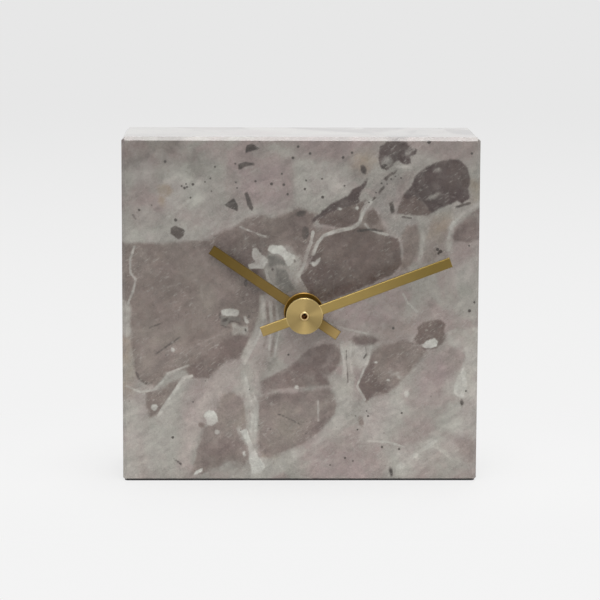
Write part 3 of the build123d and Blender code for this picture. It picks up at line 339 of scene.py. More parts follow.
FRAGMENT_SHAPES = [
    [(245.4, 153), (246.6, 145.3), (252, 143.6), (261.3, 148.9), (253, 150.6)],
    [(238.3, 170.7), (238.3, 164.2), (246, 161.8), (256.6, 164.2), (245, 166.6)],
    [(223.5, 205), (234.2, 198.4), (238, 206), (237.7, 211.6)],
    [(244.2, 193), (247.5, 191.5), (253.5, 208), (251.5, 211), (247, 205)],
    [(170.5, 228), (175, 225.5), (185.2, 230.3), (183.4, 236.2), (178.7, 239.7), (170.5, 234)],
    [(389, 203), (393, 201), (395, 212), (391, 214)],
    [(383.5, 179), (388, 174.5), (393, 171.5), (398, 169.5), (394.5, 174), (389.5, 176.5), (386, 181.5)],
    [(378, 193), (381, 188.5), (383, 186), (385.5, 185), (384, 189), (381.5, 191.5), (379.5, 195)],
    [(371.5, 200), (374.5, 196.5), (376.5, 197.5), (373.5, 201.5)],
]

# Stone: outlines that take the same wash
MIDDLE_SHAPES = [LEFT_FIELD, SMALL_FIELD, BRIDGE, SCRAP, CENTRE_LOBE, RIGHT_CLAST]
BROWN_SHAPES = [LOW_CLAST, LOW_LEFT_CLAST]
FAINT_SHAPES = FAINT_AREAS + [CORNER_BROWN]
UMBER_SHAPES = [LENS, MIDDLE_CLAST, RIGHT_SHADE, OVAL, RIGHT_PATCH]
DARK_SHAPES = [CENTRE_FIELD, WEDGE_FOOT, DARK_BLOB, CLAST_FOOT, GREY_CHIP]
DARKEST_SHAPES = [WEDGE, TOP_CLAST, BIG_CLAST]
PALE_SHAPES = [
    PALE_COLUMN, PALE_RIGHT, PALE_TRIANGLE, PALE_BOTTOM, PALE_BAND, PALE_LEFT, PALE_FOOT, SPAR_RIGHT,
    SPAR_KNEE, PALE_FLARE, PALE_BANK,
]
SPAR_GREY_SHAPES = [SPAR_CORE, SPAR_SHADOW, TOOTH_ROOT]
SPAR_SHAPES = [
    SPAR_LEFT, SPAR_MIDDLE, SPAR_SMALL, SPAR_TOOTH, SPAR_CHIP, SPAR_LOW, SPAR_BLOB, SPAR_VEIN, SPAR_SLIVER,
    SPAR_EDGE,
]

# Stone: lines on the face, as half width in pixels and points
UMBER_LINES = [
    (1.0, [(267, 302), (268.5, 325), (264, 346)]),
    (0.9, [(273.5, 302), (275.5, 330), (271, 356)]),
]
PALE_LINES = [
    (2.0, [(423, 236), (420, 262)]),
    (2.8, [(480, 203), (464, 214), (451, 227), (448.5, 248)]),
    (2.5, [(263, 298), (261.5, 316), (256, 332), (246, 351), (241.5, 368)]),
    (2.8, [(241.5, 366), (245, 384), (249, 404), (253, 424), (254, 446), (257, 464), (256, 480)]),
    (2.0, [(238, 429), (245, 441), (254, 456)]),
    (4.4, [(438, 439), (419, 451), (404, 472)]),
    (2.0, [(436, 445), (446, 453), (458, 462)]),
    (1.6, [(222, 468), (230, 462), (238, 463), (246, 472)]),
]
VEIN_LINES = [
    (1.0, [(134.5, 246), (130, 260), (130.5, 273), (135.5, 279.5), (133.5, 290), (128, 303)]),
    (1.7, [
        (372, 200), (366.5, 208), (362, 215), (359.5, 223), (352, 228), (335, 231.5), (324, 235.5),
        (317.5, 243), (313, 254),
    ]),
    (1.6, [(313, 232), (310.8, 243), (307, 253.6), (303.5, 266), (298.6, 276)]),
    (1.2, [(365, 224), (369, 229), (376, 232), (388, 235)]),
    (1.1, [(127, 386), (140, 392), (154, 390), (162, 382), (168, 373.5), (177.5, 369.6), (188, 365.5)]),
    (1.5, [(158.7, 415), (168, 401), (177.5, 387), (183.5, 378), (192, 376)]),
    (1.2, [(341, 345), (345, 367), (349, 385)]),
    (0.9, [(351, 345), (350, 360), (352, 372)]),
    (1.0, [(371, 346), (368, 360), (363, 372), (357, 386), (365, 400)]),
    (1.0, [(367, 441), (389, 442), (404, 447)]),
    (0.8, [(403, 294), (408, 303), (417, 312)]),
    (0.7, [(329, 323), (346, 329), (368, 334)]),
    (0.9, [(318, 401), (318.4, 421)]),
    (0.7, [(240, 227), (266, 237)]),
    (1.4, [(396, 166), (411, 167.5)]),
    (1.2, [(265.9, 269), (267, 275), (269, 281)]),
    (0.9, [(267, 279.5), (272, 283.5), (278, 287.5)]),
    (1.2, [(277, 279), (280.5, 284)]),
    (0.8, [(297, 275), (302, 282), (308, 291)]),
    (1.3, [(263, 300), (264, 318), (259, 336), (250, 352), (244, 364)]),
    (1.0, [(270, 302), (272, 326), (269, 350)]),
    (0.9, [(276.5, 306), (279, 330), (274.5, 356)]),
    (1.1, [(244, 372), (248, 388), (251, 404), (252.5, 418), (251, 431)]),
    (1.1, [(249, 396), (254.5, 408), (256, 420), (255, 431)]),
    (0.8, [(253, 392), (257.5, 406), (258, 420)]),
    (1.4, [(479, 204), (464, 213), (452, 225), (448.5, 238)]),
    (1.8, [(436, 441), (424, 449), (412, 457), (402, 467)]),
    (2.6, [(416, 455), (406, 461), (398, 468)]),
    (1.0, [(438, 449), (447, 456), (455, 462)]),
]
THREAD_LINES = [
    (0.7, [(261, 390.5), (296, 388), (331, 386)]),
    (0.8, [(263, 434), (270, 441)]),
    (0.5, [(160, 268.7), (168.7, 265), (172.5, 270)]),
    (0.5, [(181, 290), (186, 295)]),
    (0.5, [(201, 287.5), (202.5, 300)]),
    (0.5, [(152.5, 297.5), (156, 290), (175, 285)]),
    (0.5, [(164, 305), (180, 301)]),
    (0.5, [(155, 320), (170, 315), (177.5, 318.7)]),
    (0.6, [(140, 362.5), (142.5, 347.5), (147.5, 337.5)]),
    (0.6, [(170, 365), (197.5, 345), (225, 332.5)]),
    (0.5, [(402.5, 187.5), (415, 175), (425, 170)]),
    (0.6, [(424, 200), (440, 194), (456, 198)]),
]
DARK_LINES = [
    (0.7, [(156, 354), (180, 337)]),
    (0.6, [(149, 328), (162, 323)]),
    (1.1, [(358, 231), (370, 229.5), (382, 231)]),
    (1.2, [(457, 207), (470, 203)]),
    (0.9, [(402, 217), (411, 218.3)]),
    (0.8, [(133, 215), (135.5, 219)]),
    (0.8, [(174, 459), (181, 464)]),
    (0.8, [(221, 325), (226.5, 327.2), (230.5, 327.8)]),
    (0.8, [(228.6, 323.7), (230.5, 321.2), (235.2, 321.2), (240.6, 324.1)]),
    (0.7, [(219.5, 312), (219.8, 318)]),
    (0.8, [(136, 372), (139, 379), (146, 383.5), (152, 383)]),
    (0.5, [(346, 350), (347, 366), (348, 382)]),
    (0.8, [(366, 347), (366.5, 354), (364, 358)]),
    (0.6, [(278, 414), (290, 419), (300, 424.5)]),
]

# Stone: ovals on the face, as middle, two half widths and lean in degrees, in pixels
UMBER_SPOTS = [(201.6, 425, 3.2, 3.0, 0), (361, 422, 2.4, 6.0, 15)]
WHITE_SPOTS = [
    (217, 432, 2.4, 2.2, 0), (154, 407.5, 3.4, 3.2, 0), (406.7, 393.7, 2.6, 3.4, 0),
    (297, 387.3, 2.2, 2, 0), (340, 209, 2, 1.2, 0), (357, 208, 1.6, 2, 0), (388, 380, 1.6, 1.2, 0),
    (172.6, 349.6, 1.6, 2.2, 20), (244, 453, 1.2, 2.6, 10), (149, 467, 1.6, 1.6, 0),
    (376, 362, 2.2, 1.2, 0),
]
PALE_SPOTS = [
    (388, 162.4, 5.6, 5.2, 0), (407.6, 153, 3.2, 2.6, 0), (438, 170, 3, 2, 0),
    (296, 281, 3, 8, -10), (434, 196, 4, 1.6, 25), (395, 374, 4, 1.2, 20), (399.5, 377, 2.5, 1.2, -30),
    (390, 372, 2, 1, 40),
]
DARK_SPOTS = [
    (363.5, 169.6, 2.7, 4.9, 20), (301, 213.6, 4.8, 3, 10), (305.3, 233, 3.8, 6.6, 0),
    (225, 320, 3.6, 1.8, 20), (462, 403, 1.8, 3.8, 10), (391, 472, 1.9, 5, 8), (246, 283, 2, 3.4, 0),
    (384, 167, 2, 3.6, -40), (272.3, 269.5, 1.2, 2, 0), (294.5, 261, 1.2, 2, 20),
    (253.5, 262, 2.2, 1.3, 20), (260.5, 250.7, 1.6, 1.3, 0), (243.5, 320.1, 1, 1.6, 0),
    (249, 316.8, 1.2, 1.6, 0), (253.7, 312.5, 1.6, 1.2, 0), (245.4, 329.9, 0.9, 2, 25),
]
RUST_SPOTS = [(165, 190, 7, 6, 0), (162, 201, 3, 6, 15), (165.5, 190, 2, 2, 0)]

# Stone: dark specks on the face, as middle and radius in pixels
DARK_SPECKS = [
    (165, 161.5, 1.3), (192.9, 184.3, 1.3), (181.5, 186, 1.0), (184.5, 188, 1.2), (187, 187, 1.0),
    (186, 184, 0.8), (204.9, 181.9, 1.0), (210.2, 178.6, 0.9), (215, 166.8, 1.1), (211.5, 191.3, 0.9),
    (190.5, 197.8, 0.9), (139.2, 210, 1.2), (151.6, 205.1, 0.9), (235.9, 182.5, 0.9), (237.1, 188, 0.9),
    (255.4, 181.3, 1.1), (271.6, 183.9, 1.3), (283.7, 184.8, 1.4), (287.5, 194.3, 1.2), (281.9, 173.9, 1.0),
    (292.9, 158, 1.3), (298.2, 146.6, 1.4), (235.3, 163.6, 1.0), (175.8, 219.9, 1.6), (310.1, 153.6, 1.1),
    (343.1, 157.5, 1.4), (352, 152.7, 1.2), (304.9, 189, 1.3), (322.6, 197.2, 1.5), (321.9, 178.8, 1.0),
    (306.1, 180.3, 0.9), (344.4, 185.7, 1.1), (428.9, 142.1, 1.8), (471.9, 153.6, 1.1), (401, 177.9, 1.0),
    (468.9, 245.7, 1.0), (172.8, 437.4, 1.5), (193, 402, 0.9), (288.4, 354.6, 1.0), (393.4, 328.1, 1.3),
    (401.6, 412.9, 1.0), (382, 447, 1.1), (399, 449, 1.1), (345, 458, 1.0), (353, 461, 1.0),
    (330, 465, 1.0), (474.3, 302.4, 1.1), (469.5, 310.9, 1.6), (466, 391, 1.0), (437.5, 249.5, 1.5),
    (440.5, 251.5, 1.8), (438.5, 253.5, 1.0), (391, 179, 0.8), (381.5, 183.5, 1.0), (387, 184, 0.7),
    (376, 192.5, 0.8), (369, 202.5, 0.8), (395.5, 176.5, 0.6), (366.5, 411, 0.8), (368, 416, 1.0),
    (357.5, 429.5, 0.9),
]

# Stone: how the figure on the face carries on inwards
FIGURE_CENTRE = (303.0, 312.0)
FIGURE_SHRINK_SHARE = 0.5
DRIFT = 7.0 * MM
DRIFT_PERIOD = 38.0 * MM
DRIFT_SLANT_SHARE = 0.6
DRIFT_RATE_SHARES = (0.43, 0.77, 0.6)
DRIFT_SHIFT = 1.7
FAR = 1.0


# Camera

def camera_turn():
    """The way the camera is turned, as a matrix."""
    upright = Matrix.Rotation(-CAMERA_YAW, 3, "Z") @ Matrix.Rotation(pi / 2 - CAMERA_PITCH, 3, "X")
    return upright @ Matrix.Rotation(CAMERA_ROLL, 3, "Z")


def add_camera():
    lens = bpy.data.cameras.new("camera")
    lens.sensor_width = SENSOR_WIDTH
    lens.lens = SENSOR_WIDTH * FOCAL_PIXELS / IMAGE_SIZE
    lens.clip_start = CLIP_START
    camera = bpy.data.objects.new("camera", lens)
    camera.matrix_world = Matrix.Translation(CAMERA_PLACE) @ camera_turn().to_4x4()
    bpy.context.scene.collection.objects.link(camera)
    bpy.context.scene.camera = camera


def on_face(pixels):
    """Points of the stone's front plane, as x and z, that the camera sees at pixels of its image."""
    pixels = np.asarray(pixels, float).reshape(-1, 2)
    middle = IMAGE_SIZE / 2
    ahead = np.full(len(pixels), -FOCAL_PIXELS)
    rays = np.stack([pixels[:, 0] - middle, middle - pixels[:, 1], ahead], 1)
    rays = rays @ np.array(camera_turn()).T
    reach = (STONE_LOW.y - CAMERA_PLACE[1]) / rays[:, 1]
    return np.stack([CAMERA_PLACE[0] + reach * rays[:, 0], CAMERA_PLACE[2] + reach * rays[:, 2]], 1)


def face_scale():
    """Width of a pixel on the stone's front plane."""
    return float(np.ptp(on_face(SCALE_MARKS)[:, 0]) / np.ptp(np.asarray(SCALE_MARKS)[:, 0]))


FACE_SCALE = face_scale()


# Stone: distances from points of the face to the drawn shapes

def to_segment(points, start, end):
    """Distance to a straight piece."""
    along = end - start
    share = np.clip((points - start) @ along / max(along @ along, TINY), 0, 1)
    return np.linalg.norm(points - start - share[:, None] * along, axis=1)


def to_outline(points, pixels):
    """Signed distance to a closed outline, negative inside."""
    corners = on_face(pixels)
    nearest = np.full(len(points), FAR)
    inside = np.zeros(len(points), bool)
    for start, end in zip(corners, np.roll(corners, -1, 0)):
        nearest = np.minimum(nearest, to_segment(points, start, end))
        spans = (start[1] > points[:, 1]) != (end[1] > points[:, 1])
        rise = end[1] - start[1] if end[1] != start[1] else TINY
        crossing = start[0] + (points[:, 1] - start[1]) * (end[0] - start[0]) / rise
        inside ^= spans & (points[:, 0] < crossing)
    return np.where(inside, -nearest, nearest)


def to_line(points, half_width, pixels):
    """Signed distance to a line of some width with round ends."""
    path = on_face(pixels)
    nearest = np.full(len(points), FAR)
    for start, end in zip(path, path[1:]):
        nearest = np.minimum(nearest, to_segment(points, start, end))
    return nearest - half_width * FACE_SCALE


def to_oval(points, x, y, half_x, half_y, lean):
    """Signed distance to an oval, about true near its edge."""
    away = points - on_face([(x, y)])[0]
    turn = radians(lean)
    halves = np.array([half_x, half_y]) * FACE_SCALE
    turned_x = away[:, 0] * cos(turn) + away[:, 1] * sin(turn)
    turned_y = away[:, 1] * cos(turn) - away[:, 0] * sin(turn)
    return (np.linalg.norm(np.stack([turned_x, turned_y], 1) / halves, axis=1) - 1) * halves.min()


def nearest_of(points, outlines=(), lines=(), ovals=()):
    """Signed distance to the nearest of many shapes."""
    found = np.full(len(points), FAR)
    for pixels in outlines:
        found = np.minimum(found, to_outline(points, pixels))
    for half_width, pixels in lines:
        found = np.minimum(found, to_line(points, half_width, pixels))
    for oval in ovals:
        found = np.minimum(found, to_oval(points, *oval))
    return found


def figure_layers(points):
    """The washes of the stone's figure: signed distances in millimetres for points of the face."""
    return {wash.name: nearest_of(points, wash.outlines, wash.lines, wash.ovals) / MM for wash in WASHES}


def into_face(places):
    """Where on the face the figure of each point of the stone is drawn: the same place on the face itself,
    and further in nearer to the middle and drifting sideways in slow waves."""
    depth = (places[:, 1] - STONE_LOW.y) / (STONE_HIGH.y - STONE_LOW.y)
    middle = on_face([FIGURE_CENTRE])[0]
    flat = places[:, [0, 2]]
    drawn = middle + (flat - middle) * (1 - FIGURE_SHRINK_SHARE * depth)[:, None]
    across, up = (2 * pi / DRIFT_PERIOD * (flat + DRIFT_SLANT_SHARE * places[:, [1]])).T
    slow_share, fast_share, rise_share = DRIFT_RATE_SHARES
    drift_x = np.sin(up) + np.sin(slow_share * across + DRIFT_SHIFT)
    drift_z = np.cos(fast_share * across) + np.sin(rise_share * up)
    return drawn + DRIFT * depth[:, None] * np.stack([drift_x, drift_z], 1)


# Pieces

def add_piece(name, mesh):
    """Object of some name made from an edited mesh, which is used up."""
    data = bpy.data.meshes.new(name)
    mesh.to_mesh(data)
    mesh.free()
    piece = bpy.data.objects.new(name, data)
    bpy.context.scene.collection.objects.link(piece)
    return piece


# Stone: mesh

def axis_lines(low, high, marks, step, low_chamfer=EDGE_CHAMFER):
    """Grid lines between two ends, close together over the chamfers and on each mark."""
    start = [low + low_chamfer * share for share in EDGE_LINE_SHARES]
    end = [high - EDGE_CHAMFER * share for share in reversed(EDGE_LINE_SHARES)]
    stops = [start[-1], *marks, end[0]]
    inner = [np.linspace(a, b, max(2, round((b - a) / step) + 1))[:-1] for a, b in zip(stops, stops[1:])]
    return np.concatenate([start[:-1], *inner, end])


def halved(lines):
    """Grid lines with one more halfway between each two."""
    return np.sort(np.concatenate([lines, (lines[:-1] + lines[1:]) / 2]))


def with_front_middles(spots):
    """Corners of a quad, with one more halfway along a side that lies on the front."""
    found = []
    for spot, after in zip(spots, spots[1:] + spots[:1]):
        found.append(spot)
        if spot[1] == after[1] == STONE_LOW.y:
            found.append(tuple((a + b) / 2 for a, b in zip(spot, after)))
    return found


def bevel_edges(place):
    """A point of the sharp-edged block moved onto the block with chamfered edges."""
    gaps = [min(p - a, b - p) for p, a, b in zip(place, STONE_LOW, STONE_HIGH)]
    moves = [0.0, 0.0, 0.0]
    for i, k in ((0, 1), (1, 2), (0, 2)):
        at_foot = k == 2 and place.z - STONE_LOW.z < STONE_HIGH.z - place.z
        move = ((FOOT_CHAMFER if at_foot else EDGE_CHAMFER) - gaps[i] - gaps[k]) / 2
        moves[i] = max(moves[i], move)
        moves[k] = max(moves[k], move)
    low_side = [p - a < b - p for p, a, b in zip(place, STONE_LOW, STONE_HIGH)]
    return Vector(p + move if low else p - move for p, move, low in zip(place, moves, low_side))


def to_rounded_box(x, z, low, high, corner):
    """Signed distance to a rectangle with round corners, and the nearest point of its edge."""
    middle = [(a + b) / 2 for a, b in zip(low, high)]
    half = [(b - a) / 2 - corner for a, b in zip(low, high)]
    away = Vector((x - middle[0], z - middle[1]))
    sign = Vector((1 if away.x >= 0 else -1, 1 if away.y >= 0 else -1))
    over = Vector((abs(away.x) - half[0], abs(away.y) - half[1]))
    if over.x > 0 and over.y > 0:
        edge = over.normalized() * corner
        nearest = (middle[0] + sign.x * (half[0] + edge.x), middle[1] + sign.y * (half[1] + edge.y))
        return over.length - corner, nearest
    if over.x > over.y:
        return over.x - corner, (middle[0] + sign.x * (half[0] + corner), z)
    return over.y - corner, (x, middle[1] + sign.y * (half[1] + corner))


def recess_span(grown):
    """Corners of the recess's outline, grown by a margin."""
    low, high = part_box("movement_front_case")
    margin = RECESS_MARGIN + grown
    return (low.x - margin, low.z - margin), (high.x + margin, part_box("back_cover")[1].z + margin)


def grid_face(mesh, corner_of, us, vs, known, flip):
    """Quads over one side of the block, sharing the corners that other sides made."""
    for u, u_next in zip(us, us[1:]):
        for v, v_next in zip(vs, vs[1:]):
            spots = [corner_of(u, v), corner_of(u_next, v), corner_of(u_next, v_next), corner_of(u, v_next)]
            if any(spot[1] != STONE_LOW.y for spot in spots):
                spots = with_front_middles(spots)
            corners = [shared_corner(mesh, known, spot) for spot in spots]
            mesh.faces.new(corners[::-1] if flip else corners)


def shared_corner(mesh, known, spot):
    """The corner that is known at a place, or a new one."""
    key = tuple(round(value / WELD) for value in spot)
    if key not in known:
        known[key] = mesh.verts.new(spot)
    return known[key]


def block_skin(mesh):
    """The six sides of the sharp-edged block, as one closed net, twice as fine on the front."""
    outer_low, outer_high = recess_span(MOUTH_CHAMFER)
    xs = axis_lines(STONE_LOW.x, STONE_HIGH.x, (outer_low[0], outer_high[0]), FACE_STEP)
    zs = axis_lines(STONE_LOW.z, STONE_HIGH.z, (outer_low[1], outer_high[1]), FACE_STEP, FOOT_CHAMFER)
    ys = axis_lines(STONE_LOW.y, STONE_HIGH.y, (), DEPTH_STEP)
    known = {}
    grid_face(mesh, lambda x, z: (x, STONE_LOW.y, z), halved(xs), halved(zs), known, False)
    grid_face(mesh, lambda x, z: (x, STONE_HIGH.y, z), xs, zs, known, True)
    for x, flip in ((STONE_LOW.x, True), (STONE_HIGH.x, False)):
        grid_face(mesh, lambda depth, z: (x, depth, z), ys, zs, known, flip)
    for z, flip in ((STONE_LOW.z, True), (STONE_HIGH.z, False)):
        grid_face(mesh, lambda x, depth: (x, depth, z), xs, ys, known, flip)


def at_depth(piece, y):
    """True for a face or an edge with all its corners at one depth."""
    return all(abs(corner.co.y - y) < FLATNESS for corner in piece.verts)


def cut_mouth(mesh, y, to_edge):
    """Takes away the quads inside an outline on a flat side and brings the rim onto the outline.
    Returns the rim."""
    flat = [face for face in mesh.faces if at_depth(face, y)]
    inside = [face for face in flat if to_edge(*face.calc_center_median().xz)[0] < 0]
    bmesh.ops.delete(mesh, geom=inside, context="FACES")
    rim = [edge for edge in mesh.edges if edge.is_boundary and at_depth(edge, y)]
    for corner in {corner for edge in rim for corner in edge.verts}:
        corner.co.x, corner.co.z = to_edge(*corner.co.xz)[1]
    return rim


def sink(mesh, rim, y, to_edge=None):
    """Carries a rim on to another depth, onto another outline if there is one. Returns the new rim."""
    made = bmesh.ops.extrude_edge_only(mesh, edges=rim)["geom"]
    for corner in (item for item in made if isinstance(item, bmesh.types.BMVert)):
        corner.co.y = y
        if to_edge:
            corner.co.x, corner.co.z = to_edge(*corner.co.xz)[1]
    return [item for item in made if isinstance(item, bmesh.types.BMEdge) and item.is_boundary]


def sink_wall(mesh, rim, start, end):
    """Carries a rim straight on from one depth to another in even rings. Returns the last rim."""
    for depth in np.linspace(start, end, round(abs(end - start) / RING_SPACING) + 1)[1:]:
        rim = sink(mesh, rim, depth)
    return rim


def recess_edge(grown):
    """The recess's outline, as a function of a place."""
    low, high = recess_span(grown)
    return lambda x, z: to_rounded_box(x, z, low, high, RECESS_CORNER + grown)


def hole_edge(x, z):
    """Signed distance to the hole for the shafts, and the nearest point of its edge."""
    away = Vector((x - HAND_AXIS_X, z - HAND_AXIS_Z))
    edge = away.normalized() * HOLE_RADIUS
    return away.length - HOLE_RADIUS, (HAND_AXIS_X + edge.x, HAND_AXIS_Z + edge.y)


def cut_recess(mesh):
    """The recess in the back and the hole for the shafts, as one passage through the block."""
    rim = cut_mouth(mesh, STONE_HIGH.y, recess_edge(MOUTH_CHAMFER))
    wall_top = STONE_HIGH.y - MOUTH_CHAMFER
    rim = sink(mesh, rim, wall_top, recess_edge(0))
    rim = sink_wall(mesh, rim, wall_top, RECESS_FLOOR)
    hole = cut_mouth(mesh, STONE_LOW.y, hole_edge)
    hole = sink_wall(mesh, hole, STONE_LOW.y, RECESS_FLOOR)
    bmesh.ops.triangle_fill(mesh, edges=rim + hole, use_beauty=True, normal=(0, 1, 0))


def near_skin(place):
    """True for a point on the outside of the sharp-edged block."""
    return min(min(abs(p - a), abs(p - b)) for p, a, b in zip(place, STONE_LOW, STONE_HIGH)) < FLATNESS


def sharpen(data):
    """Marks the edges where two faces meet at more than a slight angle."""
    mesh = bmesh.new()
    mesh.from_mesh(data)
    for edge in mesh.edges:
        edge.smooth = not edge.is_manifold or edge.calc_face_angle() < SHARP_ANGLE
    mesh.to_mesh(data)
    mesh.free()


def add_stone():
    mesh = bmesh.new()
    block_skin(mesh)
    cut_recess(mesh)
    for corner in mesh.verts:
        if near_skin(corner.co):
            corner.co = bevel_edges(corner.co)
    bmesh.ops.recalc_face_normals(mesh, faces=mesh.faces)
    stone = add_piece("stone", mesh)
    stone.data.shade_smooth()
    sharpen(stone.data)
    return stone


def mark_figure(stone):
    """Stores the layers of the figure on the points of the stone."""
    places = np.empty(3 * len(stone.data.vertices))
    stone.data.vertices.foreach_get("co", places)
    drawn = into_face(places.reshape(-1, 3))
    for name, distance in figure_layers(drawn).items():
        layer = stone.data.attributes.new(name, "FLOAT", "POINT")
        layer.data.foreach_set("value", distance.astype(np.float32))


# Pad

PAD_CORNER = 1.2 * MM
PAD_CORNER_STEPS = 6
PAD_PROFILE_SHARES = ((0.0, 0.5), (0.12, 0.12), (0.5, 0.0), (0.88, 0.12), (1.0, 0.4))


def pad_ring(low, high, inset):
    """Points round the pad's outline, drawn in by an inset."""
    points = []
    for x, y, start in ((1, 1, 0), (-1, 1, 1), (-1, -1, 2), (1, -1, 3)):
        middle_x = (high.x if x > 0 else low.x) - x * PAD_CORNER
        middle_y = (high.y if y > 0 else low.y) - y * PAD_CORNER
        for step in range(PAD_CORNER_STEPS + 1):
            turn = pi / 2 * (start + step / PAD_CORNER_STEPS)
            radius = PAD_CORNER - inset
            points.append((middle_x + radius * cos(turn), middle_y + radius * sin(turn)))
    return points


def add_pad():
    """Felt pad under the stone, with a soft rounded rim, black partly as painted shadow under the stone's
    foot.
    """
    low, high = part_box("base_pad")
    thick = high.z - low.z
    mesh = bmesh.new()
    rings = []
    for height_share, inset_share in PAD_PROFILE_SHARES:
        ring = pad_ring(low, high, inset_share * thick)
        rings.append([mesh.verts.new((x, y, low.z + height_share * thick)) for x, y in ring])
    for under, over in zip(rings, rings[1:]):
        for i in range(len(under)):
            mesh.faces.new((under[i - 1], under[i], over[i], over[i - 1]))
    mesh.faces.new(rings[0][::-1])
    mesh.faces.new(rings[-1])
    bmesh.ops.recalc_face_normals(mesh, faces=mesh.faces)
    pad = add_piece("felt_pad", mesh)
    pad.data.materials.append(felt_and_shadow_look())
    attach(pad, "clock_body")
    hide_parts("base_pad")


# Marks on the back of the movement

MARK_HEIGHT = 0.4 * MM
MARK_SINK = 0.1 * MM
MARK_EASE = 0.12 * MM
MARK_EASE_STEPS = 2
MARK_STROKE = 0.8 * MM
MARK_LENGTH = 3.0 * MM
MARK_RISE = 2.0 * MM
MARK_INSET = 5.0 * MM
ARROW_RADIUS = 8.6 * MM
ARROW_HEAD = 1.1 * MM
ARROW_POINT = 1.8 * MM
ARROW_SWEEPS = ((-62, -30), (34, 2))
ARROW_STEPS = 8
BORDER_INSET = 2.4 * MM
BORDER_FOOT = 19.0 * MM


def bar(x, z, width, height):
    """Outline of an upright rectangle around a middle."""
    return [(x + a * width / 2, z + b * height / 2) for a, b in ((-1, -1), (1, -1), (1, 1), (-1, 1))]


def turning_arrow(middle, start, end):
    """Outlines of the shaft and the head of a bent arrow round a middle, between two angles in degrees."""
    turns = [radians(start + (end - start) * step / ARROW_STEPS) for step in range(ARROW_STEPS + 1)]
    reach = ARROW_POINT / ARROW_RADIUS
    point = turns[-1] + (reach if end > start else -reach)
    outer = [(ARROW_RADIUS + MARK_STROKE / 2, turn) for turn in turns]
    inner = [(ARROW_RADIUS - MARK_STROKE / 2, turn) for turn in reversed(turns)]
    head = [(ARROW_RADIUS + side * ARROW_HEAD, turns[-1] if side else point) for side in (1, 0, -1)]
    return [
        [(middle[0] + radius * cos(turn), middle[1] + radius * sin(turn)) for radius, turn in ends]
        for ends in (outer + inner, head)
    ]


def cover_marks():
    """Outlines of the marks: the poles of the battery, arrows beside the knob and a border line."""
    low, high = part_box("back_cover")
    knob_low, knob_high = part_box("setting_knob")
    knob = ((knob_low.x + knob_high.x) / 2, (knob_low.z + knob_high.z) / 2)
    pole_z = low.z + MARK_RISE
    plus_x = high.x - MARK_INSET
    marks = [bar(x, pole_z, MARK_LENGTH, MARK_STROKE) for x in (low.x + MARK_INSET, plus_x)]
    arm = (MARK_LENGTH - MARK_STROKE) / 2
    for side in (-1, 1):
        marks.append(bar(plus_x, pole_z + side * (MARK_STROKE + arm) / 2, MARK_STROKE, arm))
    for sweep in ARROW_SWEEPS:
        marks += turning_arrow(knob, *sweep)
    left, right = low.x + BORDER_INSET, high.x - BORDER_INSET
    foot, top = low.z + BORDER_FOOT, high.z - BORDER_INSET
    for z in (foot, top):
        marks.append(bar((left + right) / 2, z, right - left, MARK_STROKE))
    for x in (left + MARK_STROKE / 2, right - MARK_STROKE / 2):
        marks.append(bar(x, (foot + top) / 2, MARK_STROKE, top - foot - MARK_STROKE))
    return marks


def add_cover_marks():
    """Raised marks of the moulding, standing a little proud of the back cover."""
    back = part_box("movement_front_case")[1].y
    mesh = bmesh.new()
    for outline in cover_marks():
        ring = [mesh.verts.new((x, back - MARK_SINK, z)) for x, z in outline]
        face = mesh.faces.new(ring)
        mesh.normal_update()
        if face.normal.y < 0:
            face.normal_flip()
        made = bmesh.ops.extrude_face_region(mesh, geom=[face])["geom"]
        tops = [item for item in made if isinstance(item, bmesh.types.BMVert)]
        bmesh.ops.translate(mesh, verts=tops, vec=(0, MARK_HEIGHT + MARK_SINK, 0))
    bmesh.ops.recalc_face_normals(mesh, faces=mesh.faces)
    rims = [edge for edge in mesh.edges if all(corner.co.y > back for corner in edge.verts)]
    bmesh.ops.bevel(mesh, geom=rims, offset=MARK_EASE, segments=MARK_EASE_STEPS, affect="EDGES")
    marks = add_piece("cover_marks", mesh)
    marks.data.materials.append(black_plastic_look())
    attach(marks, "clock_body")


# Node helpers: the curve of screen levels, the range and the middle of a noise, and a colour mix's sockets

SCREEN_LEVELS = 255
STRAIGHT_END_SHARE = 0.04045
STRAIGHT_RATE = 12.92
CURVE_SHIFT = 0.055
CURVE_POWER = 2.4
NOISE_RANGE = (0.3, 0.7)
NOISE_MIDDLE = 0.5
MIX_SHARE, MIX_FIRST, MIX_SECOND, MIX_RESULT = 0, 6, 7, 2


def srgb(*levels):
    """Linear colour of three screen levels."""
    found = []
    for share in (level / SCREEN_LEVELS for level in levels):
        curved = ((share + CURVE_SHIFT) / (1 + CURVE_SHIFT)) ** CURVE_POWER
        found.append(share / STRAIGHT_RATE if share <= STRAIGHT_END_SHARE else curved)
    return (*found, 1.0)


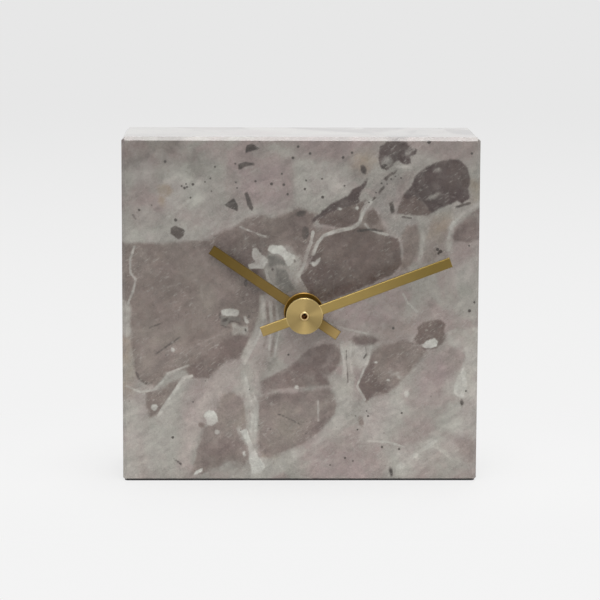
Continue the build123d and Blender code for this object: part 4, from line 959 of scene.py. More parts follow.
class Look:
    """A material made of nodes around one Principled shader."""

    def __init__(self, name):
        self.material = bpy.data.materials.new(name)
        self.material.use_nodes = True
        self.tree = self.material.node_tree
        self.shader = self.tree.nodes["Principled BSDF"]
        self.place = self.node("TexCoord").outputs["Object"]

    def put(self, socket, source):
        """Links a socket to another one, or gives it a value."""
        if isinstance(source, bpy.types.NodeSocket):
            self.tree.links.new(source, socket)
        else:
            socket.default_value = source

    def node(self, kind, inputs=None, **settings):
        made = self.tree.nodes.new("ShaderNode" + kind)
        for name, value in settings.items():
            setattr(made, name, value)
        for name, source in (inputs or {}).items():
            self.put(made.inputs[name], source)
        return made

    def math(self, operation, *sources):
        made = self.node("Math", operation=operation)
        for socket, source in zip(made.inputs, sources):
            self.put(socket, source)
        return made.outputs[0]

    def vector(self, operation, *sources):
        made = self.node("VectorMath", operation=operation)
        for socket, source in zip(made.inputs, sources):
            self.put(socket, source)
        return made.outputs["Value" if operation in ("DISTANCE", "LENGTH", "DOT_PRODUCT") else "Vector"]

    def axis(self, name):
        """One coordinate of the place."""
        return self.node("SeparateXYZ", {"Vector": self.place}).outputs[name]

    def noise(self, size, place=None, detail=4.0, roughness=0.55):
        place = self.place if place is None else place
        inputs = {"Vector": place, "Scale": 1 / size, "Detail": detail, "Roughness": roughness}
        return self.node("TexNoise", inputs).outputs["Fac"]

    def drift(self, size, reach, place=None, detail=3.0):
        """Place moved about by a soft noise."""
        place = self.place if place is None else place
        inputs = {"Vector": place, "Scale": 1 / size, "Detail": detail}
        colour = self.node("TexNoise", inputs).outputs["Color"]
        step = self.vector("SUBTRACT", colour, (NOISE_MIDDLE, NOISE_MIDDLE, NOISE_MIDDLE))
        return self.vector("ADD", place, self.vector("MULTIPLY", step, (reach, reach, reach)))

    def span(self, source, low, high, first=0.0, last=1.0):
        """Value carried smoothly from one range to another."""
        inputs = {"Value": source, "From Min": low, "From Max": high, "To Min": first, "To Max": last}
        return self.node("MapRange", inputs, interpolation_type="SMOOTHSTEP").outputs["Result"]

    def swing(self, noise, first=0.0, last=1.0):
        """Noise carried smoothly from its usual range to another."""
        return self.span(noise, *NOISE_RANGE, first, last)

    def blend(self, share, first, second, mode="MIX"):
        made = self.node("Mix", data_type="RGBA", blend_type=mode)
        for index, source in ((MIX_SHARE, share), (MIX_FIRST, first), (MIX_SECOND, second)):
            self.put(made.inputs[index], source)
        return made.outputs[MIX_RESULT]

    def dim(self, colour, level):
        """Colour times a level, the same in red, green and blue."""
        plain = colour[:3] if isinstance(colour, tuple) else colour
        scaled = self.node("VectorMath", {"Vector": plain, "Scale": level}, operation="SCALE")
        return scaled.outputs["Vector"]

    def attribute(self, name):
        return self.node("Attribute", attribute_name=name).outputs["Fac"]

    def bump(self, height, distance):
        inputs = {"Height": height, "Distance": distance, "Strength": 1.0}
        return self.node("Bump", inputs).outputs["Normal"]

    def finish(self, sockets):
        for name, source in sockets.items():
            self.put(self.shader.inputs[name], source)
        return self.material


# Stone: washes of the figure

STONE_PALE = srgb(160, 157, 151)
STONE_FRAGMENT = srgb(60, 54, 50)


@dataclass
class Wash:
    """One layer of the figure: its two colours, how much of it shows at least and at most, in millimetres
    how soft its edge is and how far two noises move it, and the shapes that it covers on the face."""
    name: str
    colours: tuple
    shares: tuple
    softness: float
    waves: float
    grain: float
    outlines: tuple = ()
    lines: tuple = ()
    ovals: tuple = ()


WASHES = [
    Wash("pink", (srgb(133, 120, 117), srgb(140, 127, 125)), (0.5, 0.9), 4.0, 8.0, 0.0, PINK_AREAS),
    Wash("pale_haze", (srgb(158, 156, 149), srgb(152, 147, 142)), (0.45, 0.8), 2.5, 6.0, 1.0, PALE_AREAS),
    Wash("grey_haze", (srgb(132, 128, 124), srgb(128, 124, 119)), (0.5, 0.9), 2.0, 5.0, 1.0, GREY_AREAS),
    Wash("blush", (srgb(156, 147, 142), srgb(151, 142, 137)), (0.45, 0.9), 2.0, 3.0, 1.0, BLUSH_AREAS),
    Wash("faint", (srgb(126, 116, 110), srgb(122, 112, 107)), (0.4, 0.75), 1.5, 3.0, 1.5, FAINT_SHAPES),
    Wash("tan", (srgb(140, 127, 108), srgb(138, 128, 116)), (0.4, 0.7), 2.5, 4.0, 1.0, TAN_AREAS),
    Wash("middle", (srgb(116, 105, 99), srgb(108, 97, 91)), (0.8, 0.98), 0.8, 2.0, 1.2, MIDDLE_SHAPES),
    Wash("brown", (srgb(122, 112, 106), srgb(115, 104, 99)), (0.8, 0.95), 0.6, 1.5, 1.2, BROWN_SHAPES),
    Wash("light", (srgb(130, 121, 113), srgb(128, 117, 112)), (0.3, 0.8), 2.5, 5.0, 1.5, LIGHT_AREAS),
    Wash("umber", (srgb(96, 83, 79), srgb(103, 90, 85)), (0.6, 0.95), 0.7, 1.5, 1.2, UMBER_SHAPES),
    Wash("dark", (srgb(95, 83, 77), srgb(88, 75, 70)), (0.85, 1.0), 0.45, 1.2, 1.2, DARK_SHAPES),
    Wash("darkest", (srgb(74, 63, 60), srgb(66, 54, 52)), (0.85, 1.0), 0.4, 1.0, 1.3, DARKEST_SHAPES),
    Wash("shade", (srgb(80, 67, 61), srgb(78, 65, 63)), (0.2, 0.5), 3.0, 5.0, 1.5, SHADE_AREAS),
    Wash(
        "pale", (STONE_PALE, srgb(150, 146, 139)), (0.35, 0.85), 0.7, 2.0, 1.6,
        PALE_SHAPES, PALE_LINES, PALE_SPOTS,
    ),
    Wash(
        "strand", (srgb(112, 100, 94), srgb(104, 90, 84)), (0.3, 0.8), 0.4, 1.0, 0.9,
        lines=UMBER_LINES, ovals=UMBER_SPOTS,
    ),
    Wash(
        "thread", (srgb(150, 143, 137), srgb(142, 133, 128)), (0.0, 0.6), 0.3, 1.0, 0.8,
        lines=THREAD_LINES,
    ),
    Wash("vein", (srgb(168, 166, 160), srgb(160, 155, 149)), (0.5, 1.0), 0.25, 0.8, 0.7, lines=VEIN_LINES),
    Wash(
        "spar_grey", (srgb(110, 108, 102), srgb(100, 96, 91)), (0.7, 0.95), 0.6, 1.0, 1.2,
        SPAR_GREY_SHAPES,
    ),
    Wash(
        "fragment", (STONE_FRAGMENT, srgb(82, 74, 69)), (0.85, 1.0), 0.25, 0.3, 0.7,
        FRAGMENT_SHAPES, DARK_LINES, DARK_SPOTS,
    ),
    Wash("rust", (srgb(130, 115, 95), srgb(136, 123, 108)), (0.3, 0.8), 0.8, 1.5, 1.5, ovals=RUST_SPOTS),
    Wash(
        "spar", (srgb(184, 183, 177), srgb(164, 161, 155)), (0.7, 1.0), 0.3, 0.5, 1.3,
        SPAR_SHAPES, ovals=WHITE_SPOTS,
    ),
]
WAVE_SIZE = 5.0 * MM
GRAIN_SIZE = 1.3 * MM
GRAIN_ROUGHNESS = 0.65
TINT_SIZE = 8.0 * MM
TINT_DRIFT = (12.0 * MM, 10.0 * MM)
TINT_RANGE = (0.36, 0.64)
PATCH_SIZE = 3.0 * MM
PATCH_RANGE = (0.3, 0.62)


def wash_mask(look, wash, waves, grain):
    """Share of a wash, with an edge roughened by two noises."""
    edge = look.math("MULTIPLY_ADD", waves, wash.waves, look.attribute(wash.name))
    edge = look.math("MULTIPLY_ADD", grain, wash.grain, edge)
    return look.span(edge, wash.softness, -wash.softness)


def washed(look, colour, grain):
    """Colour under all the washes, each between its two colours and showing more in some patches."""
    waves = look.math("SUBTRACT", look.noise(WAVE_SIZE, detail=3.0), NOISE_MIDDLE)
    tint = look.span(look.noise(TINT_SIZE, look.drift(*TINT_DRIFT)), *TINT_RANGE)
    patches = look.noise(PATCH_SIZE, detail=5.0)
    for wash in WASHES:
        shown = look.span(patches, *PATCH_RANGE, *wash.shares)
        share = look.math("MULTIPLY", wash_mask(look, wash, waves, grain), shown)
        colour = look.blend(share, colour, look.blend(tint, *wash.colours))
    return colour


# Stone: flecks, specks and threads

STREAK_TURN = (0.0, radians(-36), 0.0)
STREAK_SCALE = (2.6, 1.0, 0.6)
SWARM_SIZE = 11.0 * MM
FLECK_SIZE = 0.7 * MM
FLECK_RANGE = (0.6, 0.66)
FLECK_SWARM_RANGE = (0.46, 0.56)
PEPPER_SPACING = 3.2 * MM
PEPPER_SHARES = (0.12, 0.04)
PEPPER_LEFT_OUT_SHARE = 0.55
PEPPER_SWARM_RANGE = (0.48, 0.56)
SPECK_RAGGEDNESS = 0.6 * MM
SPECK_SOFTNESS = 0.12 * MM
WEB_DRIFT_SHARES = (0.7, 0.8)
WEB_STRETCH_SHARE = 0.8
WEB_STRETCH_RANGE = (0.48, 0.6)
PALE_WEB = {"size": 21.0 * MM, "width": 0.6 * MM, "offset": 40.0 * MM}
DARK_WEB = {"size": 15.0 * MM, "width": 0.4 * MM, "offset": 80.0 * MM}
PALE_WEB_SHARE = 0.1
DARK_WEB_SHARE = 0.12
FLECK_SHARE = 0.4
PEPPER_SHARE = 0.7
SPECK_SHARE = 0.95


def speck_mask(look, grain):
    """Share of the dark specks on the face."""
    nearest = None
    for x, y, radius in DARK_SPECKS:
        spot = on_face([(x, y)])[0]
        reach = look.vector("DISTANCE", look.place, (spot[0], STONE_LOW.y, spot[1]))
        gap = look.math("SUBTRACT", reach, radius * FACE_SCALE)
        nearest = gap if nearest is None else look.math("MINIMUM", nearest, gap)
    ragged = look.math("MULTIPLY_ADD", grain, SPECK_RAGGEDNESS, nearest)
    return look.span(ragged, SPECK_SOFTNESS, -SPECK_SOFTNESS)


def slanted(look):
    """Place turned and stretched along the slant of the stone's streaks."""
    turned = {"Vector": look.place, "Rotation": STREAK_TURN, "Scale": STREAK_SCALE}
    return look.node("Mapping", turned, vector_type="TEXTURE").outputs[0]


def flecks(look):
    """Share of small bright flecks that lie along the streaks in swarms."""
    spots = look.span(look.noise(FLECK_SIZE, slanted(look), detail=2.0), *FLECK_RANGE)
    swarm = look.span(look.noise(SWARM_SIZE, detail=2.0), *FLECK_SWARM_RANGE)
    return look.math("MULTIPLY", spots, swarm)


def pepper(look):
    """Share of tiny dark specks, strewn in patches."""
    cells = look.node("TexVoronoi", {"Vector": look.place, "Scale": 1 / PEPPER_SPACING}).outputs
    spots = look.span(cells["Distance"], *PEPPER_SHARES)
    draw = look.node("SeparateXYZ", {"Vector": cells["Color"]}).outputs["X"]
    chosen = look.math("GREATER_THAN", draw, PEPPER_LEFT_OUT_SHARE)
    swarm = look.span(look.noise(SWARM_SIZE, look.drift(SWARM_SIZE, SWARM_SIZE)), *PEPPER_SWARM_RANGE)
    return look.math("MULTIPLY", look.math("MULTIPLY", spots, chosen), swarm)


def web(look, size, width, offset):
    """Share of thin crooked threads between cells of some size, broken up into stretches."""
    place = look.vector("ADD", look.place, (offset, offset, offset))
    place = look.drift(*(share * size for share in WEB_DRIFT_SHARES), place)
    cells = look.node("TexVoronoi", {"Vector": place, "Scale": 1 / size}, feature="DISTANCE_TO_EDGE")
    thread = look.span(cells.outputs["Distance"], width / size, 0.0)
    stretch = look.span(look.noise(WEB_STRETCH_SHARE * size, place, detail=2.0), *WEB_STRETCH_RANGE)
    return look.math("MULTIPLY", thread, stretch)


# Stone: ground and surface

STONE_GREY = srgb(141, 137, 131)
STONE_PINK = srgb(137, 126, 122)
STONE_GREEN = srgb(138, 136, 129)
CLOUD_DRIFT = (20.0 * MM, 26.0 * MM)
PINK_SIZE = 15.0 * MM
PINK_RANGE = (0.4, 0.62)
GREEN_SIZE = 19.0 * MM
GREEN_RANGE = (0.5, 0.68)
GREEN_SHARE = 0.8
FOOT_TO_TOP_LEVELS = (1.15, 0.86)
CAST_SIZE = 9.0 * MM
CAST_DRIFT = (8.0 * MM, 9.0 * MM)
CAST_RANGE = (0.4, 0.62)
CAST_PINK = (1.015, 0.995, 0.992, 1.0)
CAST_GREEN = (0.995, 1.002, 0.985, 1.0)
SATIN_DEPTH = 0.2 * MM
SATIN_ROUGHNESS = 0.28
POLISH_ROUGHNESS = 0.07
POLISH_SIZE = 2.5 * MM
POLISH_LEVELS = (0.85, 1.15)
STONE_IOR = 1.5
POLISH_COAT = 0.3
COAT_ROUGHNESS = 0.05


@dataclass
class Mottle:
    """One noise in the stone's brightness: its size, how far it goes up and down, its detail and roughness,
    the size and reach of what moves it about, and whether it lies along the streaks."""
    size: float
    swing: float
    detail: float
    roughness: float = 0.55
    drift: tuple = None
    streaked: bool = False


MOTTLES = [
    Mottle(18.0 * MM, 0.05, 2.0, drift=(12.0 * MM, 10.0 * MM)),
    Mottle(7.0 * MM, 0.1, 5.0, 0.6, drift=(9.0 * MM, 14.0 * MM)),
    Mottle(4.0 * MM, 0.1, 6.0, 0.6, drift=(9.0 * MM, 12.0 * MM), streaked=True),
    Mottle(2.2 * MM, 0.07, 4.0, 0.6, drift=(3.0 * MM, 4.0 * MM)),
    Mottle(0.8 * MM, 0.05, 3.0),
    Mottle(0.4 * MM, 0.06, 2.0),
]


def stone_ground(look):
    """Colour of the stone where nothing is drawn: grey, pink and greenish clouds."""
    clouds = look.drift(*CLOUD_DRIFT)
    pink = look.span(look.noise(PINK_SIZE, clouds, detail=3.0), *PINK_RANGE)
    green = look.span(look.noise(GREEN_SIZE, clouds), *GREEN_RANGE, 0.0, GREEN_SHARE)
    return look.blend(green, look.blend(pink, STONE_GREY, STONE_PINK), STONE_GREEN)


def stone_level(look):
    """Brightness of the stone: paler to its foot, with clouds, slanting streaks, mottles and fine grain."""
    # Brighter towards the foot and darker towards the top.
    level = look.span(look.axis("Z"), STONE_LOW.z, STONE_HIGH.z, *FOOT_TO_TOP_LEVELS)
    for mottle in MOTTLES:
        place = slanted(look) if mottle.streaked else look.place
        if mottle.drift:
            place = look.drift(*mottle.drift, place)
        noise = look.noise(mottle.size, place, mottle.detail, mottle.roughness)
        level = look.math("MULTIPLY", level, look.swing(noise, 1 - mottle.swing, 1 + mottle.swing))
    return level


def stone_cast(look, colour):
    """Colour with a slight cast of pink or green that changes from patch to patch."""
    patches = look.noise(CAST_SIZE, look.drift(*CAST_DRIFT))
    cast = look.blend(look.span(patches, *CAST_RANGE), CAST_GREEN, CAST_PINK)
    return look.blend(1.0, colour, cast, "MULTIPLY")


def behind_front(look, front, behind):
    """One value on the flat front and another from a little behind it on."""
    depth = look.math("SUBTRACT", look.axis("Y"), STONE_LOW.y)
    return look.span(depth, 0.0, SATIN_DEPTH, front, behind)


def stone_roughness(look):
    """Satin on the flat front, polished on the chamfers and the other sides."""
    uneven = look.swing(look.noise(POLISH_SIZE), *POLISH_LEVELS)
    return look.math("MULTIPLY", behind_front(look, SATIN_ROUGHNESS, POLISH_ROUGHNESS), uneven)


def stone_look():
    look = Look("polished marble")
    grain = look.noise(GRAIN_SIZE, roughness=GRAIN_ROUGHNESS)
    grain = look.math("SUBTRACT", grain, NOISE_MIDDLE)
    colour = washed(look, stone_ground(look), grain)
    for mask, share, tone in (
        (web(look, **PALE_WEB), PALE_WEB_SHARE, STONE_PALE),
        (web(look, **DARK_WEB), DARK_WEB_SHARE, STONE_FRAGMENT),
        (flecks(look), FLECK_SHARE, STONE_PALE),
        (pepper(look), PEPPER_SHARE, STONE_FRAGMENT),
        (speck_mask(look, grain), SPECK_SHARE, STONE_FRAGMENT),
    ):
        colour = look.blend(look.math("MULTIPLY", mask, share), colour, tone)
    return look.finish({
        "Base Color": look.dim(stone_cast(look, colour), stone_level(look)),
        "Roughness": stone_roughness(look),
        "IOR": STONE_IOR,
        "Coat Weight": behind_front(look, 0.0, POLISH_COAT),
        "Coat Roughness": COAT_ROUGHNESS,
    })


# Plain materials of the movement and the battery

GLOSS_GRAINS = 4
GLOSS_SWING = 0.06


def grained(name, colour, levels, grain, roughness, metallic=0.0, bump=0.0):
    """Material with a fine uneven colour, roughness and surface."""
    look = Look(name)
    fine = look.noise(grain)
    gloss = look.noise(GLOSS_GRAINS * grain)
    sockets = {
        "Base Color": look.dim(colour, look.swing(fine, *levels)),
        "Roughness": look.swing(gloss, roughness - GLOSS_SWING, roughness + GLOSS_SWING),
        "Metallic": metallic,
    }
    if bump:
        sockets["Normal"] = look.bump(fine, bump)
    return look.finish(sockets)


def black_plastic_look():
    return grained(
        "moulded black plastic", colour=srgb(44, 44, 46), levels=(0.8, 1.2),
        grain=0.3 * MM, roughness=0.42, bump=0.03 * MM,
    )


def white_plastic_look():
    return grained(
        "white plastic", colour=srgb(226, 224, 216), levels=(0.95, 1.03),
        grain=0.5 * MM, roughness=0.4, bump=0.01 * MM,
    )


def rubber_look():
    return grained(
        "rubber", colour=srgb(30, 30, 31), levels=(0.85, 1.15),
        grain=0.4 * MM, roughness=0.7, bump=0.02 * MM,
    )


def magnet_look():
    return grained(
        "sintered magnet", colour=srgb(70, 70, 73), levels=(0.85, 1.15),
        grain=0.2 * MM, roughness=0.55, metallic=0.6, bump=0.01 * MM,
    )


def board_look():
    return grained(
        "circuit board", colour=srgb(40, 96, 62), levels=(0.85, 1.15), grain=0.8 * MM, roughness=0.35,
    )


def chip_look():
    return grained(
        "chip resin", colour=srgb(26, 26, 27), levels=(0.8, 1.2),
        grain=0.5 * MM, roughness=0.3, bump=0.01 * MM,
    )


def crystal_look():
    return grained(
        "crystal can", colour=srgb(205, 206, 208), levels=(0.92, 1.04),
        grain=0.6 * MM, roughness=0.2, metallic=1.0,
    )


def cell_metal_look():
    return grained(
        "cell end metal", colour=srgb(196, 196, 194), levels=(0.9, 1.05),
        grain=0.3 * MM, roughness=0.3, metallic=1.0,
    )


# Dark partly as painted shade: it is worn by the seconds shaft, seen only deep in the hole through the
# hands.
def blued_steel_and_shade_look():
    return grained(
        "blued steel", colour=srgb(44, 40, 44), levels=(0.85, 1.15),
        grain=0.2 * MM, roughness=0.45, metallic=1.0,
    )


# Felt, black partly as painted shadow under the stone's foot

FELT_AND_SHADOW_SHADES = (srgb(22, 21, 22), srgb(58, 55, 56))
FELT_RANGE = (0.35, 0.65)
FELT_FIBRE = 0.25 * MM
FELT_TANGLE = (0.6 * MM, 0.5 * MM)
FELT_ROUGHNESS = (0.9, 1.0)
FELT_SHEEN = 0.3
FELT_PILE = 0.1 * MM


def felt_and_shadow_look():
    look = Look("black felt")
    fibres = look.noise(FELT_FIBRE, look.drift(*FELT_TANGLE), detail=6.0, roughness=0.7)
    return look.finish({
        "Base Color": look.blend(look.span(fibres, *FELT_RANGE), *FELT_AND_SHADOW_SHADES),
        "Roughness": look.swing(fibres, *FELT_ROUGHNESS),
        "Sheen Weight": FELT_SHEEN,
        "Normal": look.bump(fibres, FELT_PILE),
    })


# Steel and copper

STEEL_SHADES = (srgb(160, 161, 164), srgb(196, 197, 199))
STEEL_BRUSHING = 0.2 * MM
STEEL_STRETCH_SHARE = 0.04
STEEL_ROUGHNESS = (0.28, 0.4)
WIRE_SHADE_AND_HIGHLIGHT = (srgb(108, 52, 26), srgb(206, 122, 74))
WIRE_PITCH = 1.0 * MM
WIRE_WOBBLE = 0.4
WIRE_ROUGHNESS = (0.4, 0.25)
WIRE_METAL_SHARE = 0.9
WIRE_RISE = 0.05 * MM


def steel_look():
    look = Look("brushed steel")
    brushed = look.vector("MULTIPLY", look.place, (STEEL_STRETCH_SHARE, 1.0, 1.0))
    lines = look.noise(STEEL_BRUSHING, brushed, detail=3.0)
    return look.finish({
        "Base Color": look.blend(look.swing(lines), *STEEL_SHADES),
        "Roughness": look.swing(lines, *STEEL_ROUGHNESS),
        "Metallic": 1.0,
    })


def copper_look():
    look = Look("enamelled copper wire")
    inputs = {"Vector": look.place, "Scale": 1 / WIRE_PITCH, "Distortion": WIRE_WOBBLE}
    turns = look.node("TexWave", inputs, bands_direction="X").outputs["Fac"]
    return look.finish({
        # Across each turn the colour goes from dark to bright copper: painted shade and painted highlight
        # on the round wire.
        "Base Color": look.blend(turns, *WIRE_SHADE_AND_HIGHLIGHT),
        "Roughness": look.span(turns, 0.0, 1.0, *WIRE_ROUGHNESS),
        "Metallic": WIRE_METAL_SHARE,
        "Normal": look.bump(turns, WIRE_RISE),
    })


# Turned brass

BRASS_SHADES = (srgb(150, 128, 78), srgb(176, 154, 104))
BRASS_ROUGHNESS = (0.22, 0.36)
# Paler than the other brass, as a painted highlight on the tube's end.
TUBE_HIGHLIGHT_SHADES = (srgb(196, 174, 126), srgb(214, 193, 146))
TUBE_ROUGHNESS = (0.4, 0.5)
TUBE_RADIUS = 1.5 * MM
# Painted shade inside the bore: browner and less metallic within its radius.
BORE_SHADE_BROWN = srgb(176, 128, 72)
BORE_RADIUS = 1.0 * MM
BORE_SHADE_METAL_SHARE = 0.5
TURNING_WIDTH = 0.12 * MM
BLUR = 0.1 * MM


def from_axis(look):
    """Way from the axis of the hands to each point, straight across the axis."""
    away = look.vector("SUBTRACT", look.place, (HAND_AXIS_X, 0.0, HAND_AXIS_Z))
    return look.vector("MULTIPLY", away, (1.0, 0.0, 1.0))


def turned_rings(look, radius, width, detail=2.0, roughness=0.55):
    """Noise in fine rings round the axis of the hands."""
    return look.noise(width, look.node("CombineXYZ", {"X": radius}).outputs[0], detail, roughness)


def turned_brass_look():
    look = Look("turned brass")
    rings = turned_rings(look, look.vector("LENGTH", from_axis(look)), TURNING_WIDTH)
    return look.finish({
        "Base Color": look.blend(look.swing(rings), *BRASS_SHADES),
        "Roughness": look.swing(rings, *BRASS_ROUGHNESS),
        "Metallic": 1.0,
    })


def minute_tube_look():
    """Turned brass painted paler as a highlight, with painted brown shade in its bore."""
    look = Look("bright brass tube")
    radius = look.vector("LENGTH", from_axis(look))
    rings = turned_rings(look, radius, TURNING_WIDTH)
    bore = look.span(radius, BORE_RADIUS + BLUR, BORE_RADIUS)
    bright = look.blend(look.swing(rings), *TUBE_HIGHLIGHT_SHADES)
    return look.finish({
        "Base Color": look.blend(bore, bright, BORE_SHADE_BROWN),
        "Roughness": look.swing(rings, *TUBE_ROUGHNESS),
        "Metallic": look.span(bore, 0.0, 1.0, 1.0, BORE_SHADE_METAL_SHARE),
    })


# Hands

@dataclass
class HandShades:
    """Turn of a hand in degrees clockwise from the top, radius of its hub, how far its bar and tail reach,
    and its colours at the tip, beside the hub, on the tail, on the hub and in the painted highlight on the
    hub's rim."""
    turn: float
    hub_radius: float
    reach: float
    tail: float
    tip_colour: tuple
    near_colour: tuple
    tail_colour: tuple
    hub_colour: tuple
    rim_highlight_colour: tuple


# The colours of each bar change from tail to hub to tip as painted reflection.
HOUR_HAND = HandShades(
    304.4, 6.7 * MM, 37.5 * MM, 14.0 * MM,
    # The hour hub's dark colour is painted shade under the minute hub.
    srgb(100, 82, 42), srgb(122, 101, 58), srgb(166, 141, 92), srgb(94, 70, 24), srgb(158, 124, 66),
)
MINUTE_HAND = HandShades(
    69.5, 6.1 * MM, 51.8 * MM, 15.2 * MM,
    srgb(126, 107, 58), srgb(165, 142, 87), srgb(170, 146, 95), srgb(160, 139, 92), srgb(182, 161, 110),
)
SEAT_SHADE_WIDTH = 0.35 * MM
SEAT_SHADE_SHARE = 0.55
RIM_HIGHLIGHT_WIDTH = 0.2 * MM
HAND_BRUSHING = 0.16 * MM
HAND_STRETCH_SHARE = 0.03
HUB_TURNING = 0.14 * MM
HAND_CLOUD = 4.0 * MM
HAND_CLOUD_LEVELS = (0.97, 1.03)
HAND_LINE_LEVELS = (0.94, 1.05)
HAND_ROUGHNESS = (0.36, 0.44)
HAND_ANISOTROPY = 0.8
HAND_SCRATCH = 0.01 * MM

# Painted highlight and painted shade put into the hub's colour: a positive brightness paints highlight, a
# negative one shade.
# Wedges on the turned hub: middle and half width in degrees clockwise from the top, and brightness
PAINTED_HUB_WEDGES = [
    (-58, 52, 0.3), (78, 26, 0.26), (182, 28, 0.12), (128, 26, -0.14), (-126, 24, -0.12), (12, 22, -0.06),
]


def painted_hub_sheen(look, away):
    """Brightness round the hub: painted highlight and painted shade in wedges."""
    parts = look.node("SeparateXYZ", {"Vector": away}).outputs
    angle = look.math("ARCTAN2", parts["X"], parts["Z"])
    level = 1.0
    for middle, half, swing in PAINTED_HUB_WEDGES:
        off = look.math("WRAP", look.math("SUBTRACT", angle, radians(middle)), pi, -pi)
        wedge = look.span(look.math("ABSOLUTE", off), radians(half), 0.0, 0.0, swing)
        level = look.math("ADD", level, wedge)
    return level


def hand_colour(look, hand, along, radius, hub):
    """Colour along the bar from tail to tip, with the hub, its painted rim highlight and painted seat
    shade.
    """
    # The change of colour along the bar is painted reflection.
    outward = look.blend(look.span(along, hand.hub_radius, hand.reach), hand.near_colour, hand.tip_colour)
    tail = look.span(along, -hand.hub_radius, -hand.tail)
    bar_colour = look.blend(tail, outward, hand.tail_colour)
    # A painted highlight brightens the hub's rim.
    edge = look.span(radius, hand.hub_radius - RIM_HIGHLIGHT_WIDTH - BLUR, hand.hub_radius - RIM_HIGHLIGHT_WIDTH)
    disc = look.blend(edge, hand.hub_colour, hand.rim_highlight_colour)
    # Painted shade darkens the hub round the tube towards the hour hub's dark colour.
    seat = look.span(radius, TUBE_RADIUS + SEAT_SHADE_WIDTH, TUBE_RADIUS, 0.0, SEAT_SHADE_SHARE)
    return look.blend(hub, bar_colour, look.blend(seat, disc, HOUR_HAND.hub_colour))


def hand_pattern(look, along, across, radius, hub):
    """Fine lines brushed along the bar, and rings turned on the hub."""
    stretched = look.math("MULTIPLY", along, HAND_STRETCH_SHARE)
    brushed = look.node("CombineXYZ", {"X": stretched, "Y": across}).outputs[0]
    lines = look.noise(HAND_BRUSHING, brushed, roughness=0.65)
    rings = turned_rings(look, radius, HUB_TURNING, detail=3.0, roughness=0.6)
    return look.blend(hub, lines, rings)


def hand_look(name, hand):
    """Brushed brass bar, with rings turned on its hub. Its gloss spreads across the brushing."""
    look = Look(name)
    turn = radians(hand.turn)
    away = from_axis(look)
    radius = look.vector("LENGTH", away)
    along = look.vector("DOT_PRODUCT", away, (sin(turn), 0.0, cos(turn)))
    across = look.vector("DOT_PRODUCT", away, (cos(turn), 0.0, -sin(turn)))
    hub = look.span(radius, hand.hub_radius + BLUR, hand.hub_radius)
    pattern = hand_pattern(look, along, across, radius, hub)
    clouds = look.swing(look.noise(HAND_CLOUD), *HAND_CLOUD_LEVELS)
    level = look.math("MULTIPLY", look.swing(pattern, *HAND_LINE_LEVELS), clouds)
    # The hub's colour is scaled by the painted highlight and shade of its wedges.
    level = look.math("MULTIPLY", level, look.span(hub, 0.0, 1.0, 1.0, painted_hub_sheen(look, away)))
    spread = look.blend(hub, (cos(turn), 0.0, -sin(turn), 1.0), look.vector("NORMALIZE", away))
    settings = {"vector_type": "VECTOR", "convert_from": "OBJECT", "convert_to": "WORLD"}
    return look.finish({
        "Base Color": look.dim(hand_colour(look, hand, along, radius, hub), level),
        "Roughness": look.swing(pattern, *HAND_ROUGHNESS),
        "Metallic": 1.0,
        "Anisotropic": HAND_ANISOTROPY,
        "Tangent": look.node("VectorTransform", {"Vector": spread}, **settings).outputs[0],
        "Normal": look.bump(pattern, HAND_SCRATCH),
    })


# Battery

SLEEVE_SHADES = (srgb(48, 58, 76), srgb(178, 128, 74))
SLEEVE_LINE_COLOUR = srgb(206, 200, 188)
SLEEVE_BAND_SHARE = 0.3
SLEEVE_LINE_GAP = 1.4 * MM
SLEEVE_LINE = 0.4 * MM
SLEEVE_GRAIN = 0.8 * MM
SLEEVE_LEVELS = (0.95, 1.05)
SLEEVE_ROUGHNESS = (0.22, 0.3)
SLEEVE_COAT = 0.4


def battery_wrap_look():
    """Plain two-colour sleeve with a band at the positive end and a pale line beside it."""
    look = Look("battery sleeve")
    low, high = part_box("battery_wrap")
    along = look.axis("X")
    band_start = high.x - (high.x - low.x) * SLEEVE_BAND_SHARE
    band = look.span(along, band_start - BLUR, band_start)
    off_line = look.math("ABSOLUTE", look.math("SUBTRACT", along, band_start - SLEEVE_LINE_GAP))
    line = look.span(off_line, SLEEVE_LINE, SLEEVE_LINE - BLUR)
    colour = look.blend(line, look.blend(band, *SLEEVE_SHADES), SLEEVE_LINE_COLOUR)
    fine = look.noise(SLEEVE_GRAIN)
    return look.finish({
        "Base Color": look.dim(colour, look.swing(fine, *SLEEVE_LEVELS)),
        "Roughness": look.swing(fine, *SLEEVE_ROUGHNESS),
        "Coat Weight": SLEEVE_COAT,
    })


# Stage

FLOOR_HALF = 12.0
FLOOR_SHADES = (srgb(221, 221, 221), srgb(224, 224, 223))
FLOOR_CLOUD = 0.4
FLOOR_ROUGHNESS = 0.7
FLOOR_GLOSS = 0.1
FLOOR_NEAR = srgb(244, 244, 244)
FLOOR_FAR = srgb(231, 231, 231)
FADE_DEPTHS = (-0.35, 1.7)
SHADOW_REACH = 0.09
SHADOW_FILL_SHARE = 0.8
AMBIENT = (0.54, 0.54, 0.54, 1.0)
BACKDROP = srgb(247, 247, 247)
CLOCK_MIDDLE = Vector((0.0, 0.0, 0.06))


@dataclass
class Lamp:
    """A round lamp: its place, its width and its power in watts."""
    place: tuple
    size: float
    power: float


LAMPS = {
    "top": Lamp((0.05, -0.1, 1.2), 0.68, 6.8),
    "front": Lamp((-0.1, -1.15, 1.0), 1.15, 7.5),
    "right": Lamp((1.0, -1.0, 0.3), 1.2, 2.6),
    "back": Lamp((0.15, 1.0, 1.35), 0.9, 7.0),
}


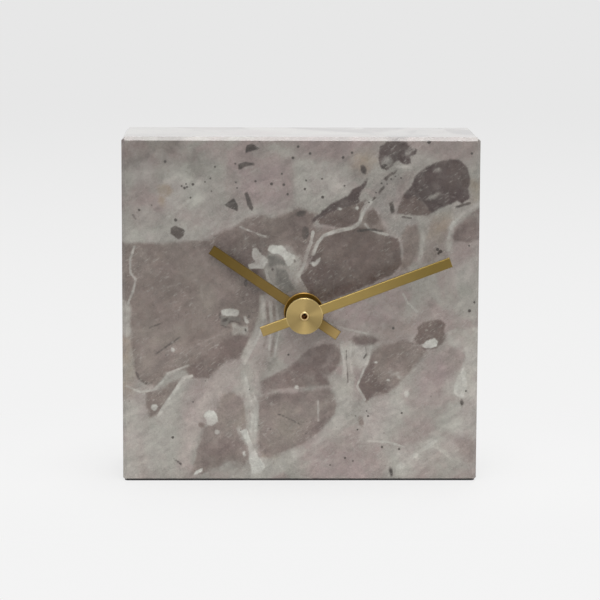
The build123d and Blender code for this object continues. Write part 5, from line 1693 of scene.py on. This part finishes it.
def seen_ray(tree):
    """1 for rays from the camera, off gloss and through glass, and 0 for the light of the room."""
    path = tree.nodes.new("ShaderNodeLightPath").outputs
    seen = path["Is Camera Ray"]
    for name in ("Is Glossy Ray", "Is Transmission Ray"):
        either = tree.nodes.new("ShaderNodeMath")
        either.operation = "MAXIMUM"
        tree.links.new(seen, either.inputs[0])
        tree.links.new(path[name], either.inputs[1])
        seen = either.outputs[0]
    return seen


def floor_look():
    """Pale floor that holds the shadow close to the clock, and runs into an even background further off."""
    look = Look("pale floor")
    colour = look.blend(look.noise(FLOOR_CLOUD, detail=2.0), *FLOOR_SHADES)
    look.finish({"Base Color": colour, "Roughness": FLOOR_ROUGHNESS, "Specular IOR Level": FLOOR_GLOSS})
    fade = look.span(look.axis("Y"), *FADE_DEPTHS)
    glow = look.node("Emission", {"Color": look.blend(fade, FLOOR_NEAR, FLOOR_FAR)})
    feet = (STONE_HIGH.x, STONE_HIGH.y, 0.0)
    beyond = look.vector("SUBTRACT", look.vector("ABSOLUTE", look.place), feet)
    beyond = look.vector("MAXIMUM", beyond, (0.0, 0.0, 0.0))
    far = look.span(look.vector("LENGTH", beyond), 0.0, SHADOW_REACH, SHADOW_FILL_SHARE, 1.0)
    share = look.math("MULTIPLY", seen_ray(look.tree), far)
    mixed = look.node("MixShader", {0: share, 1: look.shader.outputs["BSDF"], 2: glow.outputs["Emission"]})
    look.put(look.tree.nodes["Material Output"].inputs["Surface"], mixed.outputs[0])
    return look.material


def add_floor():
    data = bpy.data.meshes.new("floor")
    corners = [(x * FLOOR_HALF, y * FLOOR_HALF, 0.0) for x, y in ((-1, -1), (1, -1), (1, 1), (-1, 1))]
    data.from_pydata(corners, [], [(0, 1, 2, 3)])
    data.materials.append(floor_look())
    floor = bpy.data.objects.new("floor", data)
    bpy.context.scene.collection.objects.link(floor)


def add_world():
    """Even light of the room, before a paler backdrop."""
    world = bpy.data.worlds.new("studio")
    world.use_nodes = True
    bpy.context.scene.world = world
    tree = world.node_tree
    mix = tree.nodes.new("ShaderNodeMix")
    mix.data_type = "RGBA"
    tree.links.new(seen_ray(tree), mix.inputs[MIX_SHARE])
    mix.inputs[MIX_FIRST].default_value = AMBIENT
    mix.inputs[MIX_SECOND].default_value = BACKDROP
    tree.links.new(mix.outputs[MIX_RESULT], tree.nodes["Background"].inputs["Color"])


def add_lamps():
    for name, lamp in LAMPS.items():
        light = bpy.data.lights.new(name, "AREA")
        light.shape = "DISK"
        light.size = lamp.size
        light.energy = lamp.power
        holder = bpy.data.objects.new(name, light)
        holder.location = lamp.place
        holder.rotation_euler = (CLOCK_MIDDLE - Vector(lamp.place)).to_track_quat("-Z", "Y").to_euler()
        bpy.context.scene.collection.objects.link(holder)


# Everything in place

SLOT_LOOKS = {
    "black_plastic": black_plastic_look,
    "white_plastic": white_plastic_look,
    "hand_brass": turned_brass_look,
    "turned_brass": turned_brass_look,
    "steel": steel_look,
    "magnet": magnet_look,
    "copper_wire": copper_look,
    "circuit_board": board_look,
    "chip_resin": chip_look,
    "crystal_can": crystal_look,
    "rubber": rubber_look,
    "battery_metal": cell_metal_look,
    "battery_wrap": battery_wrap_look,
}


def dress(node, material):
    data = frame["nodes"][node].data
    data.materials.clear()
    data.materials.append(material)


def dress_nodes():
    """Gives each node its slot's material, and the hands, minute tube and seconds shaft their own."""
    made = {}
    for part in frame["record"]["subparts"]:
        slot = part["material_slot"]
        if slot in SLOT_LOOKS:
            made[slot] = made.get(slot) or SLOT_LOOKS[slot]()
            dress(part["node"], made[slot])
    dress("hour_hand", hand_look("brushed brass, hour hand", HOUR_HAND))
    dress("minute_hand", hand_look("brushed brass, minute hand", MINUTE_HAND))
    dress("minute_tube", minute_tube_look())
    # The seconds shaft's dark steel is partly painted shade in the hole through the hands.
    dress("seconds_shaft", blued_steel_and_shade_look())


def place_stone():
    stone = add_stone()
    mark_figure(stone)
    stone.data.materials.append(stone_look())
    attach(stone, "clock_body")
    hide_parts("marble_block")


bpy.context.scene.view_settings.view_transform = "Standard"
add_camera()
add_world()
add_lamps()
add_floor()
place_stone()
add_pad()
add_cover_marks()
dress_nodes()
